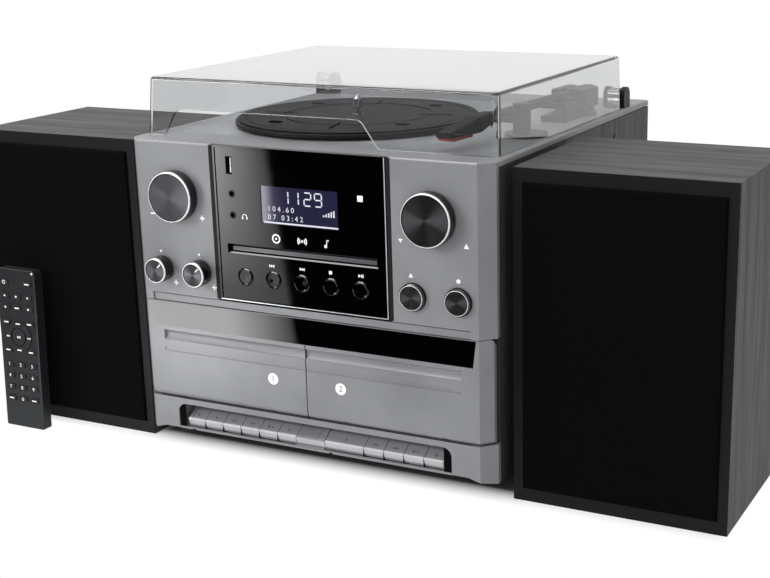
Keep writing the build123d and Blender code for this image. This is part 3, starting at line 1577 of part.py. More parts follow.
# Speaker drivers: flange on the baffle, cone with dust cap, basket and magnet.
driver_front = grille_back - driver_flange
with BuildPart() as speaker_drivers:
    for side in (-1, 1):
        add(turned(
            [(0, grille_back + cone_depth - cap_rise),
             (cap_radius - 4, grille_back + cone_depth - cap_rise + 2),
             (cap_radius, grille_back + cone_depth),
             (driver_hole - 6, driver_front + 1), (driver_hole - 2, driver_front),
             (driver_radius, driver_front), (driver_radius, grille_back),
             (driver_hole - 1, grille_back), (driver_hole - 3, grille_back + 4),
             (basket_foot, grille_back + basket_depth), (magnet_radius, grille_back + basket_depth),
             (magnet_radius, grille_back + driver_depth),
             (0, grille_back + driver_depth)],
            side * speaker_middle, driver_z,
        ))
speaker_drivers.part.label = "speaker_drivers"
export_step(speaker_drivers.part, "parts/speaker_drivers.step")

# Speaker grilles: cloth covered frames, hollow behind so that they clear the driver.
with BuildPart() as speaker_grilles:
    with BuildSketch(front_plane(grille_back)):
        with Locations((-speaker_middle, speaker_height / 2), (speaker_middle, speaker_height / 2)):
            Rectangle(grille_width, grille_height)
    extrude(amount=grille_thickness)
    fillet(speaker_grilles.edges().group_by(Axis.Y)[0], grille_round)
    with BuildSketch(front_plane(grille_back)):
        with Locations((-speaker_middle, speaker_height / 2), (speaker_middle, speaker_height / 2)):
            Rectangle(grille_width - 2 * grille_border, grille_height - 2 * grille_border)
    extrude(amount=grille_pocket, mode=Mode.SUBTRACT)
speaker_grilles.part.label = "speaker_grilles"
export_step(speaker_grilles.part, "parts/speaker_grilles.step")

# ---------------------------------------------------------------- remote control
lean = math.radians(remote_lean)
remote_out = Vector(0, -math.cos(lean), math.sin(lean))
remote_face = Plane(
    origin=(remote_x, front_y - front_reach, 0), x_dir=(1, 0, 0), z_dir=remote_out
)

# Remote case: slim bar with rounded edges, cut level at the foot so that it stands.
with BuildPart() as remote_case:
    with BuildSketch(remote_face):
        with Locations((0, remote_height / 2 - 1)):
            RectangleRounded(remote_width, remote_height + 2, remote_round)
    extrude(amount=-remote_thickness)
    fillet(remote_case.edges().group_by(Axis.Y)[0], remote_edge_round)
    block(
        (remote_x - remote_width, remote_x + remote_width),
        (-front_reach - remote_width, remote_width), (-remote_width, 0), mode=Mode.SUBTRACT,
    )
remote_case.part.label = "remote_case"
export_step(remote_case.part, "parts/remote_case.step")

# Remote keypad: three columns of rubber keys and a ring of direction keys round a centre key.
with BuildPart() as remote_keypad:
    for row in remote_rows_above + remote_rows_below:
        with BuildSketch(remote_face):
            with Locations((0, row)):
                with GridLocations(remote_key_pitch, 0, 3, 1):
                    RectangleRounded(remote_key_width, remote_key_height, 1)
        extrude(amount=remote_key_rise)
    with BuildSketch(remote_face):
        with Locations((0, remote_ring_z)):
            Circle(remote_ring_radius)
            Circle(remote_ring_radius - remote_ring_width, mode=Mode.SUBTRACT)
            Circle(remote_ring_radius - remote_ring_width - remote_ring_gap)
    extrude(amount=remote_key_rise)
    with BuildSketch(remote_face):
        with Locations((0, remote_top_row)):
            with GridLocations(2 * remote_key_pitch, 0, 2, 1):
                RectangleRounded(remote_key_width, remote_key_height, 1)
        for row in remote_corner_rows:
            with Locations((0, row)):
                with GridLocations(2 * remote_key_pitch, 0, 2, 1):
                    RectangleRounded(remote_key_width, remote_key_height, 1)
        with Locations((0, remote_ring_z)):
            Circle(remote_ring_radius + remote_ring_gap, mode=Mode.SUBTRACT)
    extrude(amount=remote_key_rise)
remote_keypad.part.label = "remote_keypad"
export_step(remote_keypad.part, "parts/remote_keypad.step")
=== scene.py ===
import math

import bmesh
import bpy
from mathutils import Matrix, Vector


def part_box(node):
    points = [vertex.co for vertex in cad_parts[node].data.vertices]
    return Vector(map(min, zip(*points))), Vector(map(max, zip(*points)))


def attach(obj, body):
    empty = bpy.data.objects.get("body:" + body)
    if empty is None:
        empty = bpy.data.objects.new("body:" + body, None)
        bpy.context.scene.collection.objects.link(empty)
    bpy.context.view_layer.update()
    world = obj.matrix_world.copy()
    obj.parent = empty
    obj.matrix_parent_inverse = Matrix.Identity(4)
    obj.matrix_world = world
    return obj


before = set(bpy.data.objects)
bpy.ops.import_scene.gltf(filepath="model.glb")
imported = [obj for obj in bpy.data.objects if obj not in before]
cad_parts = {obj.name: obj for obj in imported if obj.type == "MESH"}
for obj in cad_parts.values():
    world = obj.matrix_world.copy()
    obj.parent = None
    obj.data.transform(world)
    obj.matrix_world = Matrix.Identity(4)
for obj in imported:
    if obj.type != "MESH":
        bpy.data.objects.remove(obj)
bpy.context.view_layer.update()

front_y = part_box("front_panel")[0].y

# -------- front mouldings
# Injection moulded ABS, sprayed with a grey metallic lacquer: a fine flake, a soft sheen and a
# slightly pebbled skin. The upper front, the cassette doors and the key surround share it.


def linear(colour):
    """sRGB hex text to a linear colour with alpha."""
    parts = [int(colour[i:i + 2], 16) / 255 for i in (1, 3, 5)]
    return [c / 12.92 if c <= 0.04045 else ((c + 0.055) / 1.055) ** 2.4 for c in parts] + [1.0]


def new_material(name):
    """Material of this name with an empty node tree."""
    material = bpy.data.materials.new(name)
    material.use_nodes = True
    material.node_tree.nodes.clear()
    return material


def add_node(owner, kind, inputs=None, **settings):
    """Add a shader node with its settings; an input is given a value or linked to another node."""
    made = owner.node_tree.nodes.new(kind)
    for name, value in settings.items():
        setattr(made, name, value)
    for name, value in (inputs or {}).items():
        if isinstance(value, bpy.types.Node):
            value = next(socket for socket in value.outputs if socket.enabled)
        if isinstance(value, bpy.types.NodeSocket):
            owner.node_tree.links.new(value, made.inputs[name])
        else:
            made.inputs[name].default_value = value
    return made


def dress(material, *nodes):
    """Give CAD nodes this finish."""
    for name in nodes:
        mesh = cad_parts[name].data
        mesh.materials.clear()
        mesh.materials.append(material)


def metallic_lacquer(name, dark, light, specular, painted_shade_from=9.0):
    """Flake between two greys, with painted shade behind painted_shade_from, a Y in metres: one flat
    darker grey there. Real flake is far finer; it is drawn 0.4 mm wide so that it shows."""
    material = new_material(name)
    place = add_node(material, "ShaderNodeTexCoord").outputs["Object"]
    flake = add_node(material, "ShaderNodeTexVoronoi", {"Vector": place, "Scale": 2500})
    cloud = add_node(material, "ShaderNodeTexNoise", {"Vector": place, "Scale": 14, "Detail": 3.0})
    skin = add_node(material, "ShaderNodeTexNoise", {"Vector": place, "Scale": 900, "Detail": 2.0})
    mixed = add_node(
        material, "ShaderNodeMath", {0: flake, 1: 0.35, 2: cloud}, operation="MULTIPLY_ADD"
    )
    shade = add_node(material, "ShaderNodeMapRange", {0: mixed, 1: 0.35, 2: 0.95})
    tone = add_node(
        material, "ShaderNodeMix", {0: shade, 6: linear(dark), 7: linear(light)}, data_type="RGBA"
    )
    axes = add_node(material, "ShaderNodeSeparateXYZ", {"Vector": place})
    # Painted shade: behind painted_shade_from the flake gives way to one flat darker grey.
    recess = add_node(
        material, "ShaderNodeMath", {0: axes.outputs["Y"], 1: painted_shade_from}, operation="GREATER_THAN"
    )
    colour = add_node(
        material, "ShaderNodeMix", {0: recess, 6: tone, 7: linear("#858689")}, data_type="RGBA"
    )
    rough = add_node(material, "ShaderNodeMapRange", {0: skin, 1: 0.3, 2: 0.7, 3: 0.33, 4: 0.45})
    pebble = add_node(material, "ShaderNodeBump", {"Height": skin, "Distance": 0.00001})
    shader = add_node(material, "ShaderNodeBsdfPrincipled", {
        "Base Color": colour, "Roughness": rough, "Normal": pebble, "Metallic": 0.05, "IOR": 1.5,
        "Specular IOR Level": specular,
    })
    add_node(material, "ShaderNodeOutputMaterial", {"Surface": shader})
    return material


front_lacquer = metallic_lacquer("grey_metallic_lacquer", "#717275", "#8a8b8e", 0.42)
dress(front_lacquer, "front_panel", "key_surround", "left_door", "right_door")

# -------- printed marks on the front
# White pad printing, a film of ink without gloss: plus, minus and arrow marks by the knobs, and
# a numbered disc on each cassette door. Any wording is left off.


def make_object(name, shape, material):
    """Make a bmesh an object of the scene."""
    mesh = bpy.data.meshes.new(name)
    shape.to_mesh(mesh)
    shape.free()
    mesh.materials.append(material)
    made = bpy.data.objects.new(name, mesh)
    bpy.context.scene.collection.objects.link(made)
    return made


def make_piece(name, shape, material, body):
    """Make a bmesh a finished piece that moves with a CAD body; edges over 35 degrees stay sharp."""
    bmesh.ops.recalc_face_normals(shape, faces=shape.faces[:])
    piece = make_object(name, shape, material)
    piece.data.shade_smooth()
    piece.data.set_sharp_from_angle(angle=math.radians(35))
    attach(piece, body)


def front_place(x, z, depth=0.0):
    """Matrix of a spot on the front in mm: local X to the right, Y up and Z out of the front."""
    axes = Matrix(((1, 0, 0), (0, 0, -1), (0, 1, 0))).to_4x4()
    return Matrix.Translation((x / 1000, front_y + depth / 1000, z / 1000)) @ axes


ink_film = 0.06


def in_mm(x, y, z=0.0):
    """Matrix that moves by this much in mm."""
    return Matrix.Translation((x / 1000, y / 1000, z / 1000))


def add_bar(shape, place, width, height, thickness=ink_film, at=(0, 0)):
    """Flat bar in mm on a place, with the middle of its back at (x, y)."""
    matrix = place @ in_mm(*at, thickness / 2)
    matrix = matrix @ Matrix.Diagonal((width / 1000, height / 1000, thickness / 1000, 1))
    bmesh.ops.create_cube(shape, size=1, matrix=matrix)


def add_disc(shape, place, radius, at=(0, 0), sides=48):
    """Flat disc of ink in mm on a place."""
    bmesh.ops.create_cone(
        shape, cap_ends=True, segments=sides, radius1=radius / 1000, radius2=radius / 1000,
        depth=ink_film / 1000, matrix=place @ in_mm(*at, ink_film / 2),
    )


point_turns = {"up": 0.0, "left": 90.0, "down": 180.0, "right": -90.0}


def add_arrow(shape, place, radius, way, at=(0, 0)):
    """Flat triangle of ink in mm on a place, pointing up, down, left or right."""
    turn = Matrix.Rotation(math.radians(point_turns[way]), 4, "Z")
    add_disc(shape, place @ in_mm(*at) @ turn, radius, sides=3)


def add_ring(
    shape, place, radius, width, thickness=ink_film, at=(0, 0), angle=360.0, start=0.0, steps=48,
):
    """Flat ring, or an arc of one, in mm on a place."""
    profile = [
        shape.verts.new((r / 1000, 0, h / 1000))
        for r, h in ((radius - width / 2, 0), (radius + width / 2, 0),
                     (radius + width / 2, thickness), (radius - width / 2, thickness))
    ]
    known = set(shape.verts) - set(profile)
    face = shape.faces.new(profile)
    whole = angle == 360.0
    bmesh.ops.spin(
        shape, geom=[face] + face.edges[:] + profile, cent=(0, 0, 0), axis=(0, 0, 1),
        angle=math.radians(angle), steps=steps, use_merge=whole,
    )
    if whole:
        shape.faces.remove(face)
    matrix = place @ in_mm(*at) @ Matrix.Rotation(math.radians(start), 4, "Z")
    fresh = [vertex for vertex in shape.verts if vertex not in known]
    bmesh.ops.transform(shape, matrix=matrix, verts=fresh)


def add_text(shape, place, text, size):
    """Figures of this height in mm, centred on a place."""
    curve = bpy.data.curves.new("figures", "FONT")
    curve.body = text
    curve.size = size * 1.38 / 1000
    curve.align_x = "CENTER"
    curve.align_y = "CENTER"
    curve.extrude = ink_film / 2000
    holder = bpy.data.objects.new("figures", curve)
    mesh = bpy.data.meshes.new_from_object(holder)
    known = set(shape.verts)
    shape.from_mesh(mesh)
    matrix = place @ in_mm(0, 0, ink_film / 2)
    fresh = [vertex for vertex in shape.verts if vertex not in known]
    bmesh.ops.transform(shape, matrix=matrix, verts=fresh)
    bmesh.ops.remove_doubles(shape, verts=fresh, dist=1e-7)
    bpy.data.objects.remove(holder)
    bpy.data.curves.remove(curve)
    bpy.data.meshes.remove(mesh)


def mottled_finish(name, dark, light, noise, clouding, sockets, polish=None, relief=0.0):
    """Skin with a noise of this scale and detail. It clouds between two tones over a range of the
    noise, and polish gives another range and the roughness at its ends; relief is in mm."""
    material = new_material(name)
    place = add_node(material, "ShaderNodeTexCoord").outputs["Object"]
    speckle = add_node(material, "ShaderNodeTexNoise", {
        "Vector": place, "Scale": noise[0], "Detail": noise[1],
    })
    shade = add_node(material, "ShaderNodeMapRange", {0: speckle, 1: clouding[0], 2: clouding[1]})
    tone = add_node(
        material, "ShaderNodeMix", {0: shade, 6: linear(dark), 7: linear(light)}, data_type="RGBA"
    )
    inputs = {"Base Color": tone, **sockets}
    if polish:
        steps = dict(enumerate((speckle, *polish)))
        inputs["Roughness"] = add_node(material, "ShaderNodeMapRange", steps)
    if relief:
        height = {"Height": speckle, "Distance": relief / 1000}
        inputs["Normal"] = add_node(material, "ShaderNodeBump", height)
    shader = add_node(material, "ShaderNodeBsdfPrincipled", inputs)
    add_node(material, "ShaderNodeOutputMaterial", {"Surface": shader})
    return material


def printing_ink(name, colour, worn):
    """Matt screen printing ink, a little uneven where the film is thin."""
    return mottled_finish(
        name, worn, colour, noise=(1800, 3.0), clouding=(0.35, 0.6), polish=(0.0, 1.0, 0.5, 0.7),
        sockets={"IOR": 1.5},
    )


white_ink = printing_ink("white_printing_ink", "#ffffff", "#ececec")
grey_ink = printing_ink("grey_printing_ink", "#5a5b5e", "#4c4d50")

marks = bmesh.new()
for x, z in ((-82.6, 184.5), (-110.1, 133.5), (-75.8, 133.2)):
    add_bar(marks, front_place(x, z), 4.2, 1.1)
    add_bar(marks, front_place(x, z), 1.1, 1.55, at=(0, 1.32))
    add_bar(marks, front_place(x, z), 1.1, 1.55, at=(0, -1.32))
add_bar(marks, front_place(-126.9, 184.7), 3.8, 1.0)
for x, z, radius, way in (
    (129.8, 182.6, 2.3, "up"), (80.3, 183.0, 1.9, "down"), (87.6, 158.6, 2.0, "up"),
    (-122.1, 156.6, 1.3, "down"), (-87.8, 156.8, 1.3, "down"),
):
    add_arrow(marks, front_place(x, z), radius, way)
add_disc(marks, front_place(123.5, 158.5), 1.5)
make_piece("front_marks", marks, white_ink, "housing")

for side, digit in ((-1, "1"), (1, "2")):
    body = "left_door_body" if side < 0 else "right_door_body"
    badge = bmesh.new()
    add_disc(badge, front_place(side * 28.6, 69.0), 4.4)
    make_piece(f"deck_{digit}_badge", badge, white_ink, body)
    figure = bmesh.new()
    add_text(figure, front_place(side * 28.6, 69.0, depth=-0.055), digit, 4.6)
    make_piece(f"deck_{digit}_figure", figure, grey_ink, body)

# -------- painted shade in the seams
# Black strips at the bottom of the seams, painted shade that keeps them dark: between the cassette
# doors, above and below them, and in the groove on top of the ledge.
# The same black foam rubber makes the pads on the mat, and the painted shade in the seams and key
# gaps.
foam_and_painted_shade = mottled_finish(
    "black_foam_and_painted_shade", "#020202", "#060606", noise=(1500, 2.0), clouding=(0.0, 1.0),
    sockets={"Roughness": 0.9, "Specular IOR Level": 0.05},
)
door_middle, door_height, doors_width = 80.2, 75.0, 263.0
seams = bmesh.new()
add_bar(seams, front_place(0, door_middle, depth=1.0), 0.7, door_height, thickness=0.4)
for z, height, depth in ((42.25, 0.36, 1.0), (118.25, 0.4, 1.9), (124.05, 0.8, 2.05)):
    add_bar(seams, front_place(0, z, depth=depth), doors_width, height, thickness=0.3)
make_piece("seam_painted_shade", seams, foam_and_painted_shade, "housing")

# -------- turntable deck
# The same moulded ABS and lacquer, with less sheen and a shade lighter: the lighter grey is painted
# light on the top. It lies as a plate on the boards of the housing.
# Painted light: greys lighter than the front's, for the light that falls on the top.
deck_lacquer_painted_lighter = metallic_lacquer("deck_lacquer_painted_light", "#808183", "#98999b", 0.1)
dress(deck_lacquer_painted_lighter, "turntable_deck")

# -------- housing boards
# Fibreboard wrapped in dark grey vinyl foil: a faint grain along the board, about 1 mm apart,
# under a satin skin. The side boards stop under the deck.


def wood_foil(name, dark, light, stretch, roughness, depth, sprayed_to=-1.0):
    """Printed foil with long pores along the grain; ahead of sprayed_to in Y it is sprayed black."""
    material = new_material(name)
    place = add_node(material, "ShaderNodeTexCoord").outputs["Object"]
    along = add_node(material, "ShaderNodeMapping", {"Vector": place, "Scale": stretch})
    pores = add_node(material, "ShaderNodeTexNoise", {
        "Vector": along, "Scale": 700, "Detail": 5.0, "Roughness": 0.62, "Distortion": 0.3,
    })
    bands = add_node(material, "ShaderNodeTexNoise", {
        "Vector": along, "Scale": 110, "Detail": 3.0, "Distortion": 0.8,
    })
    grain = add_node(
        material, "ShaderNodeMath", {0: pores, 1: 0.6, 2: bands}, operation="MULTIPLY_ADD"
    )
    shade = add_node(material, "ShaderNodeMapRange", {0: grain, 1: 0.6, 2: 1.0})
    tone = add_node(
        material, "ShaderNodeMix", {0: shade, 6: linear(dark), 7: linear(light)}, data_type="RGBA"
    )
    axes = add_node(material, "ShaderNodeSeparateXYZ", {"Vector": place})
    behind = add_node(
        material, "ShaderNodeMath", {0: axes.outputs["Y"], 1: sprayed_to}, operation="GREATER_THAN"
    )
    colour = add_node(
        material, "ShaderNodeMix", {0: behind, 6: linear("#030303"), 7: tone}, data_type="RGBA"
    )
    rough = add_node(material, "ShaderNodeMapRange", {0: shade, 3: roughness + 0.1, 4: roughness})
    relief = add_node(material, "ShaderNodeBump", {"Height": shade, "Distance": depth / 1000})
    shader = add_node(material, "ShaderNodeBsdfPrincipled", {
        "Base Color": colour, "Roughness": rough, "Normal": relief, "IOR": 1.5,
        "Specular IOR Level": 0.2,
    })
    add_node(material, "ShaderNodeOutputMaterial", {"Surface": shader})
    return material


side_foil = wood_foil("dark_grey_vinyl_foil", "#303032", "#3d3d3f", (1, 1, 0.06), 0.45, 0.03)
dress(side_foil, "cabinet")

# -------- rear panel
# Black moulded ABS with a spark-eroded grain, which leaves it matt. It is screwed on round its
# edge; the brackets of the cover's hinges are moulded in the same plastic.


def moulded_abs(name, dark, light, roughness, specular=0.3, grain_scale=1500):
    """Spark-eroded mould grain of about 0.7 mm, with a little dust between its peaks."""
    return mottled_finish(
        name, dark, light, noise=(grain_scale, 2.0), clouding=(0.3, 0.7),
        polish=(0.3, 0.7, roughness + 0.06, roughness - 0.06), relief=0.04,
        sockets={"IOR": 1.53, "Specular IOR Level": specular},
    )


black_abs = moulded_abs("black_moulded_abs", "#0d0d0e", "#151516", 0.48, specular=0.2)
dress(black_abs, "rear_panel", "hinge_brackets")

# -------- screws
# Blackened steel screws with cross recesses: a row along the top and the bottom of the rear panel,
# one halfway up each side of it, and one in each side board near the deck.


def worked_metal(name, dark, light, smooth, rough, metallic=1.0):
    """Metal, uneven in polish over a millimetre or two; metallic under 1 is a milky oxide skin."""
    return mottled_finish(
        name, dark, light, noise=(600, 3.0), clouding=(0.0, 1.0), polish=(0.3, 0.7, smooth, rough),
        sockets={"Metallic": metallic},
    )


head_height = 0.9


def add_screw(shape, place, radius):
    """Pan head in mm on a place, its cross recess drawn as two low ribs."""
    bmesh.ops.create_cone(
        shape, cap_ends=True, segments=24, radius1=radius / 1000, radius2=radius * 0.72 / 1000,
        depth=head_height / 1000, matrix=place @ in_mm(0, 0, head_height / 2),
    )
    for turn in (0, 1):
        arm = Matrix.Rotation(turn * math.pi / 2, 4, "Z")
        add_bar(shape, place @ in_mm(0, 0, head_height) @ arm, radius, 0.35, 0.04)


screw_steel = worked_metal("blackened_steel", "#232324", "#333335", 0.25, 0.45)
rear_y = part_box("rear_panel")[1].y
cabinet_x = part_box("cabinet")[1].x
rear_axes = Matrix(((-1, 0, 0), (0, 0, 1), (0, 1, 0))).to_4x4()
screws = bmesh.new()
for x in (-0.140, -0.047, 0.047, 0.140):
    for z in (0.024, 0.222):
        add_screw(screws, Matrix.Translation((x, rear_y, z)) @ rear_axes, 3.0)
for side in (-1, 1):
    add_screw(screws, Matrix.Translation((side * 0.140, rear_y, 0.124)) @ rear_axes, 3.0)
    side_axes = Matrix(((0, 0, side), (side, 0, 0), (0, 1, 0))).to_4x4()
    add_screw(
        screws, Matrix.Translation((side * cabinet_x, front_y + 0.237, 0.2208)) @ side_axes, 2.6
    )
make_piece("housing_screws", screws, screw_steel, "housing")

# -------- rear sockets
# Turned and moulded sockets on the floor of the bay: black bodies with coloured collars, so that
# left and right, plus and minus can be told apart.
dress(black_abs, "rear_sockets")


def tinted_plastic(name, dark, light):
    """Glossy injection moulded polystyrene with faint flow marks."""
    return mottled_finish(
        name, dark, light, noise=(180, 2.0), clouding=(0.3, 0.7), polish=(0.0, 1.0, 0.2, 0.32),
        sockets={"IOR": 1.55},
    )


red_plastic = tinted_plastic("red_polystyrene", "#8a1014", "#b01c20")
white_plastic = tinted_plastic("white_polystyrene", "#cfcfcb", "#e4e4e0")
bay_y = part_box("rear_sockets")[0].y
collar_y, lever_y, lever_middle, lever_pitch = bay_y + 0.009, bay_y + 0.011, 0.012, 0.011
for name, x, material in (
    ("red_socket_collars", -0.040, red_plastic), ("white_socket_collars", -0.056, white_plastic),
):
    collars = bmesh.new()
    for z in (0.085, 0.107):
        collar_place = Matrix.Translation((x, collar_y, z)) @ rear_axes
        add_ring(collars, collar_place, 3.2, 1.6, thickness=0.5)
    make_piece(name, collars, material, "housing")
for name, row, material in (("red_levers", 0.105, red_plastic), ("black_levers", 0.087, black_abs)):
    levers = bmesh.new()
    for column in range(4):
        x = lever_middle + (column - 1.5) * lever_pitch
        lever_place = Matrix.Translation((x, lever_y, row)) @ rear_axes
        add_bar(levers, lever_place, 6.4, 7.5, thickness=0.8, at=(0, 0.6))
        add_bar(levers, lever_place, 6.4, 1.2, thickness=1.5, at=(0, -3.2))
    make_piece(name, levers, material, "housing")

# -------- feet
# Moulded rubber pads under the bottom board, dull and slightly dusty, two at each side. They keep
# the housing off the table.


def moulded_rubber(name, dark, light):
    """Matt rubber with a fine mould texture of about 1 mm."""
    return mottled_finish(
        name, dark, light, noise=(1000, 4.0), clouding=(0.3, 0.7), polish=(0.0, 1.0, 0.6, 0.8),
        relief=0.03, sockets={"IOR": 1.52, "Specular IOR Level": 0.25},
    )


# This black rubber also serves as painted shade in the gaps beside the centre panel.
rubber = moulded_rubber("black_rubber_and_painted_shade", "#060607", "#0d0d0e")
dress(rubber, "feet")

# -------- inside the housing
# Circuit board in green solder mask, seen only through the vents, and the black chassis of the
# disc drive and of the cassette mechanisms.
solder_mask = new_material("green_solder_mask")
board_place = add_node(solder_mask, "ShaderNodeTexCoord").outputs["Object"]
tracks = add_node(solder_mask, "ShaderNodeTexBrick", {
    "Vector": board_place, "Scale": 120, "Color1": linear("#1d4a2c"),
    "Color2": linear("#235835"), "Mortar": linear("#123a20"),
})
mask_shader = add_node(solder_mask, "ShaderNodeBsdfPrincipled", {
    "Base Color": tracks, "Roughness": 0.3, "IOR": 1.5,
})
add_node(solder_mask, "ShaderNodeOutputMaterial", {"Surface": mask_shader})
dress(solder_mask, "main_board")
dress(black_abs, "cd_drive", "cassette_mechanisms")

# -------- glossy centre panel
# Smoked acrylic sheet with a polished face. A thin bright metal strip along its right and lower
# edges only is a painted highlight, and a strip of black rubber down each side is painted shade. The
# windows of the doors are cut from it too.
black_acrylic = new_material("black_acrylic")
acrylic_place = add_node(black_acrylic, "ShaderNodeTexCoord").outputs["Object"]
haze = add_node(black_acrylic, "ShaderNodeTexNoise", {
    "Vector": acrylic_place, "Scale": 60, "Detail": 4.0,
})
acrylic_rough = add_node(black_acrylic, "ShaderNodeMapRange", {
    0: haze, 1: 0.35, 2: 0.7, 3: 0.03, 4: 0.08,
})
acrylic_shader = add_node(black_acrylic, "ShaderNodeBsdfPrincipled", {
    "Base Color": linear("#020203"), "Roughness": acrylic_rough, "IOR": 1.49,
})
add_node(black_acrylic, "ShaderNodeOutputMaterial", {"Surface": acrylic_shader})
dress(black_acrylic, "centre_panel", "left_door_window", "right_door_window")

edge_highlight_metal = worked_metal("bright_aluminium_painted_highlight", "#cfd0d2", "#e0e1e3", 0.3, 0.4, metallic=0.5)
frame_side, frame_low, frame_high = 69.3, 125.9, 238.6
# Painted highlight: bright bars on the lit right and lower edges only, none on the left or top.
edge_highlight_bars = bmesh.new()
add_bar(edge_highlight_bars, front_place(frame_side, (frame_low + frame_high) / 2, depth=-0.3), 0.65,
        frame_high - frame_low, thickness=0.12)
add_bar(edge_highlight_bars, front_place(0, frame_low, depth=-0.3), 2 * frame_side + 0.65, 0.6, thickness=0.12)
make_piece("centre_frame_painted_highlight", edge_highlight_bars, edge_highlight_metal, "housing")
# Painted shade: a black rubber strip in the dark gap at each side of the acrylic.
foam = bmesh.new()
for side in (-1, 1):
    add_bar(foam, front_place(side * 71.9, 182.0, depth=0.02), 3.4, 114.0, thickness=0.07)
make_piece("centre_gap_painted_shade", foam, rubber, "housing")

# -------- display
# Blue-violet liquid crystal window, lit from its left and lower edges, with pale figures. It
# shows plain figures only: a clock, two rows of numbers and a row of level bars.
liquid_crystal = new_material("liquid_crystal_glass")
screen_place = add_node(liquid_crystal, "ShaderNodeTexCoord").outputs["Object"]
across = add_node(liquid_crystal, "ShaderNodeSeparateXYZ", {"Vector": screen_place})
glow_left = add_node(liquid_crystal, "ShaderNodeMapRange", {
    0: across.outputs["X"], 1: -0.0315, 2: -0.0205, 3: 1.0, 4: 0.0,
}, interpolation_type="SMOOTHSTEP")
backlight = add_node(liquid_crystal, "ShaderNodeMix", {
    0: glow_left, 6: linear("#23213a"), 7: linear("#908e9c"),
}, data_type="RGBA")
crystal_shader = add_node(liquid_crystal, "ShaderNodeBsdfPrincipled", {
    "Base Color": linear("#0a0a14"), "Roughness": 0.12, "IOR": 1.5,
    "Emission Color": backlight, "Emission Strength": 1.0,
})
add_node(liquid_crystal, "ShaderNodeOutputMaterial", {"Surface": crystal_shader})
dress(liquid_crystal, "display")

lit_segment = new_material("lit_lcd_segment")
pixel_place = add_node(lit_segment, "ShaderNodeTexCoord").outputs["Object"]
pixel_edges = add_node(lit_segment, "ShaderNodeTexNoise", {
    "Vector": pixel_place, "Scale": 1500, "Detail": 2.0,
})
pixel_tone = add_node(lit_segment, "ShaderNodeMix", {
    0: pixel_edges, 6: linear("#c9c9e6"), 7: linear("#ffffff"),
}, data_type="RGBA")
segment_shader = add_node(lit_segment, "ShaderNodeBsdfPrincipled", {
    "Base Color": linear("#202028"), "Roughness": 0.4, "Emission Color": pixel_tone,
    "Emission Strength": 0.95,
})
add_node(lit_segment, "ShaderNodeOutputMaterial", {"Surface": segment_shader})

segment_bars = {
    "a": (0.0, 4.6, 1), "b": (2.8, 2.3, 0), "c": (2.8, -2.3, 0), "d": (0.0, -4.6, 1),
    "e": (-2.8, -2.3, 0), "f": (-2.8, 2.3, 0), "g": (0.0, 0.0, 1),
}
clock_digits = ((-11.8, "bc"), (-3.4, "bc"), (6.9, "abged"), (15.5, "abcdfg"))
screen_depth = 1.4
figures = bmesh.new()
for x, lit in clock_digits:
    for segment in lit:
        dx, dz, level = segment_bars[segment]
        width, height = (4.5, 0.95) if level else (0.95, 3.7)
        add_bar(figures, front_place(x + dx, 205.0 + dz, depth=screen_depth), width, height)
add_text(figures, front_place(-15.6, 196.0, depth=screen_depth), "1 0 4 . 6 0", 3.9)
add_text(figures, front_place(-12.0, 190.0, depth=screen_depth), "0 7   0 3 : 4 2", 3.9)
for bar in range(5):
    height = 1.2 + 0.9 * bar
    spot = front_place(19.5 + 2.1 * bar, 193.6 + height / 2, depth=screen_depth)
    add_bar(figures, spot, 1.2, height)
make_piece("display_figures", figures, lit_segment, "housing")

light_guide = bmesh.new()
add_bar(light_guide, front_place(0.6, 186.2, depth=screen_depth), 61.0, 1.1, thickness=0.3)
make_piece("display_light_guide", light_guide, lit_segment, "housing")

# -------- marks on the centre panel
# White ink on the acrylic: plain transport marks over the buttons, a disc, a wave and a note under
# the display, headphones by their jack, and the small window of the remote receiver.


def panel_place(x, z):
    """Place on the face of the acrylic, in mm."""
    return front_place(x, z, depth=0.5)


symbols = bmesh.new()
previous_spot = panel_place(-24.4, 154.4)
add_bar(symbols, previous_spot, 0.5, 2.3, at=(-2.3, 0))
next_spot = panel_place(0.1, 154.4)
add_bar(symbols, next_spot, 0.5, 2.3, at=(2.3, 0))
for shift in (-0.9, 1.0):
    add_arrow(symbols, previous_spot, 1.3, "left", at=(shift, 0))
    add_arrow(symbols, next_spot, 1.3, "right", at=(shift, 0))
add_bar(symbols, panel_place(23.8, 154.4), 2.4, 2.4)
play_spot = panel_place(48.2, 154.4)
add_arrow(symbols, play_spot, 1.4, "right", at=(-1.2, 0))
for shift in (0.7, 1.8):
    add_bar(symbols, play_spot, 0.6, 2.4, at=(shift, 0))
disc_spot = panel_place(-20.0, 174.8)
add_ring(symbols, disc_spot, 2.9, 1.1)
add_disc(symbols, disc_spot, 0.8)
wave_spot = panel_place(1.6, 174.8)
add_disc(symbols, wave_spot, 0.9)
for radius in (2.2, 3.6):
    for start in (-40, 140):
        add_ring(symbols, wave_spot, radius, 0.8, angle=80.0, start=start, steps=12)
note_spot = panel_place(21.8, 175.0)
add_disc(symbols, note_spot, 1.2, at=(-1.0, -2.0))
add_bar(symbols, note_spot, 0.6, 4.6, at=(-0.1, 0.2))
add_bar(symbols, note_spot, 1.9, 0.9, at=(0.6, 2.2))
phones_spot = panel_place(-45.8, 188.4)
add_ring(symbols, phones_spot, 1.9, 0.5, angle=180.0, start=0, steps=16)
add_bar(symbols, phones_spot, 1.0, 1.8, at=(-1.8, -0.7))
add_bar(symbols, phones_spot, 1.0, 1.8, at=(1.8, -0.7))
add_bar(symbols, panel_place(49.6, 209.0), 4.2, 4.2)
make_piece("centre_marks", symbols, white_ink, "housing")

